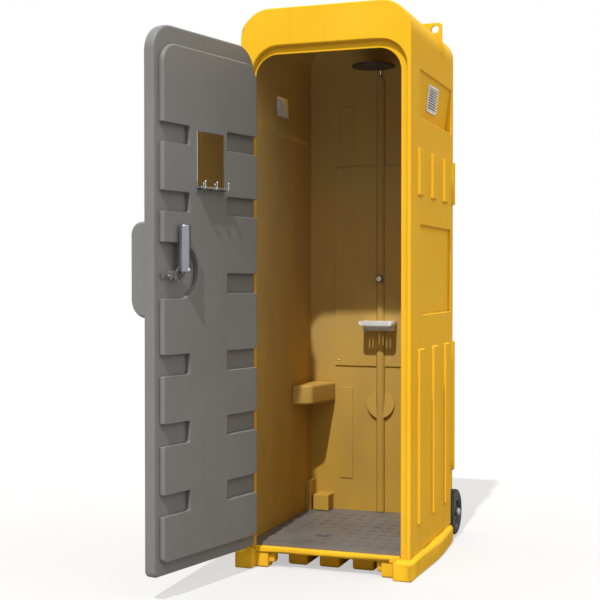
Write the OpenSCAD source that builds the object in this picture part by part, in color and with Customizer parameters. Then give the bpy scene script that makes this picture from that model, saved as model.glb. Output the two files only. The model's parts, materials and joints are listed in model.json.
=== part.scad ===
// Portable shower cabin, all sizes in millimetres.
// Origin on the ground under the middle of the cabin body, +Z up.
// The doorway faces -Y, and the hinges are on the -X side of it.

/* [Cabin] */
// Outside width of the cabin body
body_width = 692; // [600:1:900]
// Outside depth of the cabin body
body_depth = 798; // [700:1:1000]
// Height of the roof above the ground
body_height = 2200; // [2000:5:2400]
// Thickness of the hollow side, rear and roof walls
wall = 26; // [16:1:40]
// Radius of the long edges between the roof and the walls
roof_radius = 120; // [60:1:160]
// Radius of the upright rear corners
rear_radius = 60; // [30:1:90]
// Height of the floor tray's top
floor_height = 98; // [80:1:130]

/* [Doorway] */
// Width of the front frame beside the hinges
frame_left = 49; // [46:1:80]
// Width of the front frame beside the latch
frame_right = 15; // [12:1:60]
// Height of the front header above the door
header = 148; // [130:1:250]
// Depth of the rebate that the door closes into
rebate_depth = 20.5; // [12:0.5:30]
// Width of the stop strip beside the hinges
stop_left = 8; // [6:1:30]
// Width of the stop strip beside the latch
stop_right = 28; // [15:1:40]
// Width of the stop strip at the top
stop_top = 31; // [15:1:40]
// Thickness of the stop strip
lip_thickness = 5.5; // [4:0.5:12]

/* [Door] */
// Angle that the door stands open at, from shut
door_open = 103.3; // [0:0.1:130]
// Height of the door's bottom edge
door_bottom = 90; // [86:1:120]
// Thickness of the door's outer shell
door_thickness = 49.3; // [30:0.1:60]
// How far the inner panel stands proud
panel_rise = 20; // [8:1:30]
// Turn of the latch lever that throws the bolt fully
lever_turn = 90; // [60:1:90]

/* [Water] */
// Middle of the shower column, from the middle of the cabin
column_x = 13.5; // [-40:0.5:40]
// Outside radius of the half-round riser cover
column_radius = 20; // [16:0.5:30]
// Radius of the overhead shower head
head_radius = 95; // [60:1:130]
// Height of the push valve
valve_height = 1142; // [1000:1:1250]
// Stroke of the push button
button_stroke = 5; // [3:0.5:8]

/* [Wheels] */
// Radius of the transport wheels
wheel_radius = 100; // [80:1:120]
// Width of the tyres
wheel_width = 42; // [30:1:50]
// Radius of the wheel axle
axle_radius = 8; // [6:0.5:12]

/* [Hidden] */
$fn = 48;
cut = 1;
fit_gap = 0.5;
running = 0.05;
screw_gap = 0.1;
screw_radius = 2;
bolt_radius = 4;

// Shares of the standard cabin, for the places that move with its walls
wide = body_width / 692;
deep = body_depth / 798;
tall = body_height / 2200;

// Body
half_width = body_width / 2;
inner_half = half_width - wall;
inner_rear = body_depth - wall + 1;
inner_top = body_height - wall;
inner_front = rebate_depth + lip_thickness;
deck_low = 62;
deck_top = 77;
sill_top = 84;
rebate_left = frame_left - half_width;
rebate_right = half_width - frame_right;
rebate_top = body_height - header;
door_left = rebate_left + stop_left;
door_right = rebate_right - stop_right;
rebate_radius = 108;
opening_radius = 90;

// Hinge axis, and the door's own frame with its zero on that axis
hinge_x = rebate_left - 1.5;
hinge_y = -7.9;
knuckle_radius = 7.5;
pin_radius = 4;
hinge_low = 300 * tall;
hinge_high = 1830 * tall;
hinge_heights = [hinge_low, (hinge_low + hinge_high) / 2, hinge_high];
leaf_half = 45;
leaf_screw = 30;
leaf_reach = 43.5;
knuckle_half = 15.5;
knuckle_gap = 0.5;
leaf_plate = 4;
leaf_depth = 14;
leaf_height = 40;
door_edge = 13.5;
door_free = rebate_right - hinge_x - 2.7;
door_top = rebate_top - 12;
door_outer = -22.1;
door_inner = door_outer + door_thickness;
door_radius = 100;
edge_round = 13;
panel_face = door_inner + panel_rise;
panel_near = door_edge + 10;
panel_far = door_free - 30.3;
panel_low = door_bottom + 48;
panel_high = door_top - 68;
panel_radius = 72;
panel_round = 5;
free_notches = [[303, 380], [550, 630], [797, 873], [1380, 1452], [1622, 1692]] * tall;
hinge_notches = [[307, 380], [554, 626], [797, 870], [1086, 1161], [1379, 1449], [1622, 1692]] * tall;
free_notch_x = door_free - 180.8;
hinge_notch_x = panel_near + 197.5;
notch_round = 9;
round_steps = 6;
pull_reach = 70;
pull_width = 60;
pull_below = 169;
pull_above = 173;
pull_round_top = 46;
pull_round_low = pull_reach - 3;
pull_edge = 7;
pull_wall = 28;

// Mirror, shelf and hooks on the door
fittings_x = (panel_near + panel_far) / 2 + 18;
tray_z = 1470 * tall;
tray_half_width = 84;
tray_plate = 2;
tray_reach = 26;
tray_flange = 15;
hook_spacing = 70;
hook_radius = 2.2;
hook_gap = 8;
hook_rise = 22;
mirror_half = 80;
mirror_low = tray_z + 8.5;
mirror_height = 198.5;
mirror_high = mirror_low + mirror_height;
mirror_thickness = 3;

// Latch
hub_x = door_free - 128.3;
hub_z = 1170 * tall;
pocket_radius = 100;
spindle_radius = 6;
crank_disc = 17;
crank_radius = 12.73;
crank_offset = crank_radius * sin(lever_turn / 2);
crank_drop = crank_radius * cos(lever_turn / 2);
crank_pin_radius = 3;
bolt_back = door_inner + 7.8;
bolt_front = bolt_back + 6;
bolt_low = hub_z - 26;
bolt_high = hub_z - 7;
bolt_start = hub_x - 26.5;
bolt_tip = hub_x + 95.5;
stud_x = hub_x + 79.5;
stud_z = hub_z - 18;
stud_radius = 4;
stud_shank = 3;
stud_length = 16;
guide_width = 12;
guide_wall = 4;
slide_gap = 0.3;
guide_starts = [hub_x + crank_disc + 1.5, hub_x + crank_disc + 26.5];
lever_back = panel_face + 10.8;
lever_front = lever_back + 22;
lever_half = 17;
lever_top = hub_z + 163;

// Side wall features
side_high = 1955 * tall;
side_low = 1768 * tall;
side_front = 143 * deep;
side_rear = 706 * deep;
side_shallow = half_width - 8;
side_deep = half_width - 30;
middle_high = 1353 * tall;
middle_low = 1001 * tall;
middle_depth = 12;
rib_rise = 10;
upper_ribs = [110, 330, 545] * deep;
upper_rib_width = 78 * deep;
upper_rib_low = 1465 * tall;
upper_rib_high = 1645 * tall;
lower_ribs = [112, 352, 572] * deep;
lower_rib_width = 88 * deep;
lower_rib_low = 190 * tall;
lower_rib_high = 868 * tall;
rear_ribs = [-190, 0, 190] * wide;
rear_rib_width = 60 * wide;
inner_ribs = [-146, 146] * wide;
inner_rib_width = 58 * wide;
inner_rib_rise = 4;
vent_y = 410 * deep;
vent_z = 1872 * tall;
vent_width = 160;
vent_height = 108;
vent_thickness = 6;
vent_border = 12;
vent_screw = 6;
vent_screw_radius = 1.6;
vent_tilt = atan((side_shallow - side_deep) / (side_high - side_low));
vent_x = side_shallow - (side_high - vent_z) * tan(vent_tilt);
lug_y = 505 * deep;
lug_thickness = 13;
lug_edge = half_width + 4;
lug_top = body_height + 6;
lug_hole_x = lug_edge - 28.5;
lug_hole_z = lug_top - 27;
lug_hole_radius = 16;

// Wheels and axle
wheel_gap = 10;
axle_y = body_depth + 26;
axle_z = wheel_radius + 8;
well_x = half_width - 46;
well_y = axle_y - wheel_radius - wheel_gap;
well_top = axle_z + wheel_radius + 16;
wheel_inner = well_x + 12;
wheel_outer = wheel_inner + wheel_width;
rim_radius = 62;
axle_end = wheel_outer + 8;
liner = 6;
bracket_x = well_x - 38;
bracket_width = 36;
bracket_plate = 8;
bolt_head = 7;
bolt_head_height = 5;
bolt_length = 27;
bracket_arm = 16;
bracket_bolt_z = axle_z + 33;

// Base
rail_front = -33;
rail_inside = half_width - 63;
rail_bow = 30;
rail_end = half_width + 11;
rail_curve = [[60, 0.5], [200, 0.77], [350, 1], [480, 0.93], [620, 0.67]];
skids = [[-179, -98], [-48, 37], [89, 179]] * wide;
skid_front = 90 * deep;
skid_rear = body_depth - 38;
rear_beam = 14;

// Floor and drain
drain_x = -73 * wide;
drain_y = 220 * deep;
drain_radius = 42;
drain_funnel = 30;
drain_sink = 8;
pipe_wall = 3;
outlet_radius = 20;
outlet_inner_radius = 21;
outlet_z = 34;
outlet_spigot = 44;
outlet_end = body_depth + 60;
tray_half = inner_half - fit_gap;
tray_front = inner_front + fit_gap;
tray_rear = inner_rear - fit_gap;
tread_length = 28;
tread_width = 10;
tread_rise = 2;

// Water pipes
pipe_radius = 7.5;
pipe_bore = 5.5;
spigot_radius = 5.4;
spigot_length = 28;
pipe_y = inner_rear - pipe_radius - 1;
cover_wall = 3.5;
cover_low = floor_height + fit_gap;
cover_high = body_height - 169;
inlet_z = 581 * tall;
inlet_radius = 10.5;
inlet_flange = 19;
boss_radius = 64;
boss_rise = 14;
valve_radius = 14;
valve_front = inner_rear - 28;
bezel_radius = 16.5;
bezel_lip = 4;
button_radius = 10.8;
button_seat = valve_front + 2 + button_stroke;
button_length = 16.5;
arm_radius = 6.5;
arm_bore = 5;
elbow_radius = 7;
arm_z = body_height - 105;
head_y = inner_rear - 125;
head_z = body_height - 134;
head_thickness = 16.5;
plate_inset = 9;
panel_x = 213 * wide;
service_low = 750 * tall;
service_high = 1647 * tall;
service_rise = 6;
service_margin = 18;
shelf_low = 588 * tall;
shelf_high = 675 * tall;
shelf_depth = 253;
shelf_step = 210;
shelf_reach = 80;
shelf_width = 122;

// Soap dish
dish_half = 76;
dish_front = inner_rear - 105;
dish_rear = inner_rear - service_rise - fit_gap;
dish_low = 934 * tall;
dish_height = 20;
dish_corner = 14;
dish_wall = 8;
dish_floor = 10;
bracket_low = dish_low - 24;
bracket_front = inner_rear - 45;

// Corner blocks inside the cabin
block_near = well_x - 90;
block_far = well_x - 18;
block_front = inner_rear - 73;
block_high = floor_height + 70;
boss_stub = 14;

// Places its children in the cabin frame, whose zero is on the front face
module from_front() {
  translate([0, -body_depth / 2, 0]) children();
}

// Places its children in the door frame, turned to the open angle
module from_door() {
  from_front() translate([hinge_x, hinge_y, 0]) rotate([0, 0, -door_open]) children();
}

module box(low, high) {
  translate(low) cube(high - low);
}

// Block with its two top edges rounded along Y
module arch(low, high, r) {
  box(low, [high[0], high[1], high[2] - r]);
  box([low[0] + r, low[1], low[2]], [high[0] - r, high[1], high[2]]);
  for (x = [low[0] + r, high[0] - r])
    translate([x, low[1], high[2] - r]) rotate([-90, 0, 0]) cylinder(r = r, h = high[1] - low[1]);
}

// Block with its top rear edge rounded along X
module rear_arch(low, high, r) {
  box(low, [high[0], high[1] - r, high[2]]);
  box(low, [high[0], high[1], high[2] - r]);
  translate([low[0], high[1] - r, high[2] - r]) rotate([0, 90, 0]) cylinder(r = r, h = high[0] - low[0]);
}

// Block with its two upright rear edges rounded
module rear_corners(low, high, r) {
  box(low, [high[0], high[1] - r, high[2]]);
  box([low[0] + r, low[1], low[2]], [high[0] - r, high[1], high[2]]);
  for (x = [low[0] + r, high[0] - r])
    translate([x, high[1] - r, low[2]]) cylinder(r = r, h = high[2] - low[2]);
}

module body_outside() {
  intersection() {
    arch([-half_width, 0, deck_top], [half_width, body_depth, body_height], roof_radius);
    rear_arch([-half_width, 0, deck_top], [half_width, body_depth, body_height], roof_radius);
    rear_corners([-half_width, 0, deck_top], [half_width, body_depth, body_height], rear_radius);
  }
}

module body_inside() {
  intersection() {
    arch([-inner_half, inner_front, deck_top - cut], [inner_half, inner_rear, inner_top],
      roof_radius - wall);
    rear_arch([-inner_half, inner_front, deck_top - cut], [inner_half, inner_rear, inner_top],
      roof_radius - wall);
  }
}

// Flat profile in X and Z, given a thickness along Y
module side_profile(points, y0, y1) {
  translate([0, y1, 0]) rotate([90, 0, 0]) linear_extrude(height = y1 - y0) polygon(points);
}

// Raised ribs of one side wall
module side_ribs() {
  out = half_width + rib_rise;
  for (y = upper_ribs)
    box([half_width - cut, y, upper_rib_low], [out, y + upper_rib_width, upper_rib_high]);
  for (y = lower_ribs)
    box([half_width - cut, y, lower_rib_low], [out, y + lower_rib_width, lower_rib_high]);
}

// Raised ribs of the rear wall and around its upright corner
module rear_wall_ribs() {
  for (z = [[lower_rib_low, lower_rib_high], [upper_rib_low, upper_rib_high]]) {
    for (x = rear_ribs) box([x - rear_rib_width / 2, body_depth - cut, z[0]],
      [x + rear_rib_width / 2, body_depth + rib_rise, z[1]]);
    low = max(z[0], well_top + 86);
    for (s = [-1, 1]) translate([s * (half_width - rear_radius), body_depth - rear_radius, low])
      cylinder(r = rear_radius + rib_rise, h = z[1] - low);
  }
}

// Low ribs on the inside of the rear wall
module inner_wall_ribs() {
  for (z = [[240, 651] * tall, [1724, 1914] * tall], x = inner_ribs)
    box([x - inner_rib_width / 2, inner_rear - inner_rib_rise, z[0]],
      [x + inner_rib_width / 2, inner_rear + cut, z[1]]);
}

// Hollow behind one vent, and the recesses of one side wall
module side_recesses() {
  side_profile([[side_shallow, side_high], [side_deep, side_low],
    [half_width + cut, side_low], [half_width + cut, side_high]], side_front, side_rear);
  box([half_width - middle_depth, side_front + 11, middle_low],
    [half_width + cut, side_rear - 6, middle_high]);
  translate([vent_x, vent_y, vent_z]) rotate([0, vent_tilt, 0])
    box([-2 * wall, vent_border - vent_width / 2, vent_border - vent_height / 2],
      [cut, vent_width / 2 - vent_border, vent_height / 2 - vent_border]);
  for (p = vent_screw_points()) vent_screw_place(p) rotate([0, 90, 0])
    translate([0, 0, -5]) cylinder(r = vent_screw_radius + screw_gap, h = 5 + cut);
}

function vent_screw_points() = [for (y = [-1, 1], z = [-1, 1])
  [y * (vent_width / 2 - vent_screw), z * (vent_height / 2 - vent_screw)]];

module vent_screw_place(p) {
  translate([vent_x, vent_y, vent_z]) rotate([0, vent_tilt, 0]) translate([0, p[0], p[1]])
    children();
}

// Lifting lug in the roof corner, moulded with the shell
module lug() {
  difference() {
    side_profile([[half_width - 146, body_height - 50], [half_width - 146, body_height - 4],
      [half_width - 120, lug_top], [lug_edge - 8, lug_top], [lug_edge, lug_top - 8],
      [lug_edge, lug_top - 122], [half_width - 3, lug_top - 146], [half_width - 46, lug_top - 146]],
      lug_y - lug_thickness / 2, lug_y + lug_thickness / 2);
    lug_hole();
    body_inside();
  }
}

module lug_hole() {
  translate([lug_hole_x, lug_y - lug_thickness, lug_hole_z]) rotate([-90, 0, 0])
    cylinder(r = lug_hole_radius, h = 2 * lug_thickness);
}

function service_screw_points() = [for (x = [-1, 1], z = [service_low + 25,
  (service_low + service_high) / 2, service_high - 25]) [column_x + x * (panel_x - service_margin), z]];

function hinge_screw_points() = [for (h = hinge_heights, z = [-leaf_screw, leaf_screw])
  [hinge_x - leaf_reach + 12, h + z]];

function bracket_bolt_points() = [for (x = [-bracket_x, bracket_x]) [x, bracket_bolt_z]];

// Corner block inside the cabin, with its stub towards the side wall
module corner_block() {
  box([block_near, block_front, floor_height + fit_gap], [block_far, inner_rear + cut, block_high]);
  translate([block_far - cut, (block_front + inner_rear) / 2, floor_height + 28]) rotate([0, 90, 0])
    cylinder(r = boss_stub, h = boss_stub);
}

// Clearance cylinder around the riser cover
module column_gap() {
  translate([column_x, inner_rear, 0]) cylinder(r = column_radius + fit_gap, h = body_height);
}

// Round boss at the riser's foot, standing out most at its lower edge
module inlet_boss() {
  tilt = asin(boss_rise / (2 * boss_radius));
  difference() {
    translate([column_x, inner_rear - 1.5, inlet_z + boss_radius]) rotate([90 - tilt, 0, 0])
      translate([0, -boss_radius, -boss_rise - 2]) cylinder(r = boss_radius, h = boss_rise + 2);
    box([column_x - 2 * boss_radius, inner_rear + cut, inlet_z - 2 * boss_radius],
      [column_x + 2 * boss_radius, body_depth, inlet_z + 2 * boss_radius]);
    column_gap();
  }
}

module cabin_shell() {
  color("gold") from_front() difference() {
    union() {
      difference() {
        union() {
          body_outside();
          rear_wall_ribs();
          for (s = [0, 1]) mirror([s, 0, 0]) {
            side_ribs();
            lug();
          }
        }
        body_inside();
      }
      inner_wall_ribs();
      inlet_boss();
      for (s = [0, 1]) mirror([s, 0, 0]) {
        side_profile([[inner_half + cut, side_high - 83], [side_deep - 8, side_low - 8],
          [inner_half + cut, side_low - wall]], side_front - 8, side_rear + 8);
        box([well_x - liner, well_y - liner, deck_top],
          [inner_half + cut, inner_rear + cut, well_top + liner]);
        corner_block();
      }
    }
    for (s = [0, 1]) mirror([s, 0, 0]) {
      side_recesses();
      box([well_x, well_y, 0], [half_width + 2 * rib_rise, body_depth + 2 * rib_rise, well_top]);
      lug_hole();
    }
    arch([rebate_left, -cut, 0], [rebate_right, rebate_depth, rebate_top], rebate_radius);
    arch([door_left, -cut, 0], [door_right, inner_front + cut, rebate_top - stop_top],
      opening_radius);
    translate([column_x, inner_rear - cut, inlet_z]) rotate([-90, 0, 0])
      cylinder(r = inlet_radius + fit_gap, h = 2 * wall);
    for (p = service_screw_points()) translate([p[0], inner_rear - cut, p[1]])
      rotate([-90, 0, 0]) cylinder(r = screw_radius + screw_gap, h = 11);
    for (p = hinge_screw_points()) translate([p[0], -cut, p[1]])
      rotate([-90, 0, 0]) cylinder(r = screw_radius + screw_gap, h = 15);
    for (p = bracket_bolt_points()) translate([p[0], body_depth - 20, p[1]])
      rotate([-90, 0, 0]) cylinder(r = bolt_radius + screw_gap, h = 20 + cut);
  }
}

// Outline of one side rail of the base, bowed outwards in the middle
function rail_outline(inset) = concat(
  [[rail_inside + inset, rail_front + inset], [rail_end - inset, rail_front + inset]],
  [for (p = rail_curve) [half_width + rail_bow * p[1] - inset, p[0] * deep]],
  [[half_width + 13 - inset, well_y - liner], [rail_inside + inset, well_y - liner]]);

// Side rail with its front foot, whose inner block stands one step higher
module rail_and_foot() {
  linear_extrude(height = deck_low + cut) polygon(rail_outline(0));
  hull() {
    translate([0, 0, deck_low]) linear_extrude(height = 2) polygon(rail_outline(0));
    translate([0, 0, deck_top - 2]) linear_extrude(height = 2) polygon(rail_outline(12));
  }
  box([rail_inside - 51, 4, 0], [rail_inside + cut, 60, deck_low + cut]);
  box([rail_inside - 75, 16, 18], [rail_inside - 50, 60, deck_low + cut]);
}

module base_pallet() {
  beam_half = well_x - liner;
  color("gold") from_front() difference() {
    union() {
      for (s = [0, 1]) mirror([s, 0, 0]) rail_and_foot();
      for (k = skids) box([k[0], skid_front, 0], [k[1], skid_rear, deck_low + cut]);
      box([-half_width, 0, deck_low], [half_width, well_y - liner, deck_top]);
      box([-beam_half, well_y - 114, deck_low], [beam_half, body_depth, deck_top]);
      box([-beam_half, skid_rear + 8, 0], [beam_half, body_depth + rear_beam, deck_top - 3]);
      box([door_left + fit_gap, 0, deck_low], [door_right - fit_gap, inner_front, sill_top]);
    }
    translate([drain_x, drain_y, deck_low - cut]) cylinder(r = outlet_inner_radius + fit_gap, h = 20);
    translate([drain_x, skid_rear - 20, outlet_z]) rotate([-90, 0, 0])
      cylinder(r = outlet_inner_radius + fit_gap, h = 100);
  }
}

module floor_tray() {
  well_edge = well_x - liner - fit_gap;
  color("dimgray") from_front() difference() {
    union() {
      box([-tray_half, tray_front, deck_top], [tray_half, tray_rear, floor_height - tread_rise]);
      for (x = [-270:60:270], y = [90:70:650])
        if (norm([x * wide - drain_x, y * deep - drain_y]) > 2 * drain_radius + 10)
          translate([x * wide, y * deep, floor_height - tread_rise - cut]) rotate([0, 0, 45])
            box([-tread_length / 2, -tread_width / 2, 0],
              [tread_length / 2, tread_width / 2, tread_rise + cut]);
    }
    for (s = [0, 1]) mirror([s, 0, 0])
      box([well_edge, well_y - liner - fit_gap, 0], [half_width, body_depth, 2 * floor_height]);
    translate([drain_x, drain_y, floor_height - drain_sink])
      cylinder(r = drain_radius + fit_gap, h = 20);
    translate([drain_x, drain_y, 0]) cylinder(r = drain_funnel, h = 2 * floor_height);
  }
}

module drain_grate() {
  color("silver") from_front() translate([drain_x, drain_y, 0]) difference() {
    translate([0, 0, floor_height - drain_sink]) cylinder(r = drain_radius, h = drain_sink - tread_rise);
    for (x = [-24:12:24])
      box([x - 2.5, -26, 0], [x + 2.5, 26, 2 * floor_height]);
  }
}

module drain_outlet() {
  r = outlet_inner_radius;
  color("dimgray") from_front() difference() {
    union() {
      translate([drain_x, drain_y, outlet_z]) cylinder(r = r, h = deck_top - outlet_z + 2);
      translate([drain_x, drain_y, deck_top]) cylinder(r = drain_funnel - cut, h = 4);
      translate([drain_x, drain_y, outlet_z]) sphere(r = r);
      translate([drain_x, drain_y, outlet_z]) rotate([-90, 0, 0])
        cylinder(r = r, h = outlet_end - outlet_spigot - drain_y);
      translate([drain_x, outlet_end - outlet_spigot - cut, outlet_z]) rotate([-90, 0, 0])
        cylinder(r = outlet_radius, h = outlet_spigot + cut);
    }
    translate([drain_x, drain_y, outlet_z]) cylinder(r = outlet_radius - pipe_wall, h = 80);
    translate([drain_x, drain_y, outlet_z]) rotate([-90, 0, 0])
      cylinder(r = outlet_radius - pipe_wall, h = body_depth);
  }
}

module service_panel(side) {
  x = column_x + side * panel_x;
  color("gold") from_front() difference() {
    box([min(x, column_x), inner_rear - service_rise, service_low],
      [max(x, column_x), inner_rear, service_high]);
    column_gap();
    for (p = service_screw_points()) translate([p[0], inner_rear - 2 * service_rise, p[1]])
      rotate([-90, 0, 0]) cylinder(r = screw_radius + screw_gap, h = 3 * service_rise);
  }
}

module service_panel_left() {
  service_panel(-1);
}

module service_panel_right() {
  service_panel(1);
}

// Screw with a low round head, its shank along +Y from the head's seat
module screw(head, head_height, shank, length) {
  translate([0, -head_height, 0]) rotate([-90, 0, 0]) cylinder(r = head, h = head_height);
  translate([0, -cut, 0]) rotate([-90, 0, 0]) cylinder(r = shank, h = length + cut);
}

module service_screws() {
  color("silver") from_front() for (p = service_screw_points())
    translate([p[0], inner_rear - service_rise, p[1]]) screw(5, 2.5, screw_radius, 15);
}

module riser_cover() {
  color("gold") from_front() difference() {
    translate([column_x, inner_rear, cover_low]) cylinder(r = column_radius, h = cover_high - cover_low);
    translate([column_x, inner_rear, cover_low - cut])
      cylinder(r = column_radius - cover_wall, h = cover_high - cover_low + 2 * cut);
    box([column_x - 2 * column_radius, inner_rear, 0],
      [column_x + 2 * column_radius, body_depth, body_height]);
    translate([column_x, inner_rear - 3 * column_radius, valve_height]) rotate([-90, 0, 0])
      cylinder(r = valve_radius + 0.3, h = 3 * column_radius);
  }
}

module tube(r, bore, h) {
  difference() {
    cylinder(r = r, h = h);
    translate([0, 0, -cut]) cylinder(r = bore, h = h + 2 * cut);
  }
}

module riser_pipe_lower() {
  color("peru") from_front() translate([column_x, pipe_y, inlet_z + inlet_radius + cut])
    tube(pipe_radius, pipe_bore, valve_height - valve_radius - inlet_z - inlet_radius - 2 * cut);
}

module riser_pipe_upper() {
  color("peru") from_front() translate([column_x, pipe_y, valve_height + valve_radius + cut])
    tube(pipe_radius, pipe_bore, cover_high + 4 - valve_height - valve_radius);
}

module water_inlet() {
  color("silver") from_front() {
    translate([column_x, inner_rear - 12, inlet_z]) rotate([-90, 0, 0])
      cylinder(r = inlet_radius, h = body_depth + 44 - inner_rear + 12);
    translate([column_x, body_depth + rib_rise, inlet_z]) rotate([-90, 0, 0])
      cylinder(r = inlet_flange, h = 8);
    translate([column_x, pipe_y, inlet_z]) cylinder(r = spigot_radius, h = spigot_length);
  }
}

module valve_body() {
  color("silver") from_front() difference() {
    union() {
      translate([column_x, valve_front, valve_height]) rotate([-90, 0, 0])
        cylinder(r = valve_radius, h = inner_rear - valve_front - cut);
      translate([column_x, pipe_y, valve_height - spigot_length])
        cylinder(r = spigot_radius, h = 2 * spigot_length);
    }
    translate([column_x, valve_front - cut, valve_height]) rotate([-90, 0, 0])
      cylinder(r = button_radius + running, h = button_seat + button_stroke - valve_front + cut + 2);
  }
}

module valve_bezel() {
  color("black") from_front() difference() {
    translate([column_x, valve_front - bezel_lip, valve_height]) rotate([-90, 0, 0])
      cylinder(r = bezel_radius, h = bezel_lip + 7);
    translate([column_x, valve_front - 2, valve_height]) rotate([-90, 0, 0])
      cylinder(r = valve_radius + screw_gap, h = 20);
    translate([column_x, valve_front - bezel_lip - cut, valve_height]) rotate([-90, 0, 0])
      cylinder(r = button_radius + 0.4, h = 20);
    translate([column_x, inner_rear, valve_height - 2 * bezel_radius])
      cylinder(r = column_radius + 0.2, h = 4 * bezel_radius);
  }
}

module push_button() {
  r = button_radius;
  h = button_length;
  color("white") from_front() translate([column_x, button_seat, valve_height]) rotate([90, 0, 0])
    rotate_extrude() polygon([[0, 0], [r, 0], [r, h - 6], [r - 1.2, h - 3.5], [r - 3.8, h - 1.5],
      [r - 7.3, h - 0.3], [0, h]]);
}

module shower_arm() {
  drop = head_z + head_thickness + 0.5;
  color("silver") from_front() difference() {
    union() {
      translate([column_x, pipe_y, cover_high + 6]) cylinder(r = arm_radius, h = arm_z - cover_high - 6);
      translate([column_x, pipe_y, arm_z]) sphere(r = elbow_radius);
      translate([column_x, head_y, arm_z]) rotate([-90, 0, 0])
        cylinder(r = arm_radius, h = pipe_y - head_y);
      translate([column_x, head_y, arm_z]) sphere(r = elbow_radius + 2);
      translate([column_x, head_y, drop]) cylinder(r = 2 * arm_radius, h = arm_z - drop);
    }
    translate([column_x, head_y, drop - cut]) cylinder(r = arm_bore, h = 14);
    translate([column_x, pipe_y, cover_high]) cylinder(r = arm_bore, h = 50);
  }
}

module shower_head() {
  r = head_radius;
  color("dimgray") from_front() translate([column_x, head_y, head_z]) difference() {
    rotate_extrude() polygon([[0, 0], [r - 2, 0], [r, 2], [r, 6], [r - 3, 9], [30, 11],
      [24, head_thickness], [0, head_thickness]]);
    translate([0, 0, -cut]) cylinder(r = r - plate_inset, h = cut + 4);
  }
}

module nozzle_plate() {
  color("silver") from_front() translate([column_x, head_y, head_z]) {
    translate([0, 0, 1]) cylinder(r = head_radius - plate_inset - fit_gap, h = 3);
    for (ring = [[0.23, 6], [0.47, 10], [0.72, 14]], k = [0:ring[1] - 1])
      rotate([0, 0, 360 / ring[1] * k]) translate([ring[0] * head_radius, 0, -1])
        cylinder(r = 2.2, h = 2.5);
  }
}

module soap_dish() {
  x0 = column_x - dish_half;
  x1 = column_x + dish_half;
  top = dish_low + dish_height;
  color("white") from_front() difference() {
    union() {
      box([x0 + dish_corner, dish_front, dish_low], [x1 - dish_corner, dish_rear, top]);
      box([x0, dish_front + dish_corner, dish_low], [x1, dish_rear, top]);
      for (x = [x0 + dish_corner, x1 - dish_corner])
        translate([x, dish_front + dish_corner, dish_low]) cylinder(r = dish_corner, h = dish_height);
    }
    box([x0 + dish_wall, dish_front + dish_wall, dish_low + dish_floor],
      [x1 - dish_wall, bracket_front + 10, top + cut]);
    for (x = [-48:16:48]) box([column_x + x - 2, dish_front + 18, dish_low - cut],
      [column_x + x + 2, bracket_front, top + cut]);
    column_gap();
  }
}

module soap_dish_bracket() {
  half = dish_half - 5;
  color("white") from_front() difference() {
    box([column_x - half, bracket_front, bracket_low], [column_x + half, dish_rear, dish_low - fit_gap]);
    box([column_x - half + dish_wall, bracket_front - cut, bracket_low - cut],
      [column_x + half - dish_wall, bracket_front + 20, dish_low - dish_wall]);
    column_gap();
  }
}

module corner_shelf() {
  color("gold") from_front() translate([0, 0, shelf_low]) linear_extrude(height = shelf_high - shelf_low)
    polygon([[-inner_half, inner_rear - shelf_depth], [shelf_reach - inner_half, inner_rear - shelf_step],
      [shelf_width - inner_half, inner_rear], [-inner_half, inner_rear]]);
}

module vent_grille() {
  w = vent_width / 2;
  h = vent_height / 2;
  t = vent_thickness;
  b = vent_border - cut;
  from_front() translate([vent_x, vent_y, vent_z]) rotate([0, vent_tilt, 0]) difference() {
    union() {
      difference() {
        box([0.2, -w, -h], [t, w, h]);
        box([-cut, b - w, b - h], [t + cut, w - b, h - b]);
      }
      for (k = [-3:3]) translate([t / 2 + 0.4, 0, 12 * k]) rotate([0, -35, 0])
        box([-1.2, b - w - cut, -3.6], [1.2, w - b + cut, 3.6]);
      box([1, -2, b - h - cut], [t - 1, 2, h - b + cut]);
    }
    for (p = vent_screw_points()) translate([-cut, p[0], p[1]]) rotate([0, 90, 0])
      cylinder(r = vent_screw_radius + screw_gap, h = 20);
  }
}

module vent_grille_right() {
  color("white") vent_grille();
}

module vent_grille_left() {
  color("white") mirror([1, 0, 0]) vent_grille();
}

module vent_screws() {
  color("silver") for (s = [0, 1]) mirror([s, 0, 0]) from_front()
    for (p = vent_screw_points()) vent_screw_place(p) rotate([0, 90, 0]) {
      translate([0, 0, vent_thickness]) cylinder(r = 3.4, h = 1.6);
      translate([0, 0, -4.5]) cylinder(r = vent_screw_radius, h = vent_thickness + 5);
    }
}

module hinge_frame_leaves() {
  color("silver") from_front() for (h = hinge_heights) difference() {
    union() {
      box([hinge_x - leaf_reach, -leaf_plate, h - leaf_half], [hinge_x, 0, h + leaf_half]);
      for (z = [h - leaf_half, h + knuckle_half + knuckle_gap]) translate([hinge_x, hinge_y, z])
        cylinder(r = knuckle_radius, h = leaf_half - knuckle_half - knuckle_gap);
    }
    translate([hinge_x, hinge_y, h - leaf_half - cut])
      cylinder(r = pin_radius, h = 2 * leaf_half + 2 * cut);
    box([hinge_x - knuckle_radius - 3.5, -4 * knuckle_radius, h - knuckle_half - knuckle_gap],
      [hinge_x + 20, 10, h + knuckle_half + knuckle_gap]);
    for (z = [-leaf_screw, leaf_screw]) translate([hinge_x - leaf_reach + 12, -10, h + z])
      rotate([-90, 0, 0]) cylinder(r = screw_radius + screw_gap, h = 20);
  }
}

module hinge_pins() {
  color("silver") from_front() for (h = hinge_heights) translate([hinge_x, hinge_y, h]) {
    translate([0, 0, -leaf_half]) cylinder(r = pin_radius, h = 2 * leaf_half + 0.5);
    translate([0, 0, leaf_half]) cylinder(r = 6.2, h = 3);
  }
}

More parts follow.
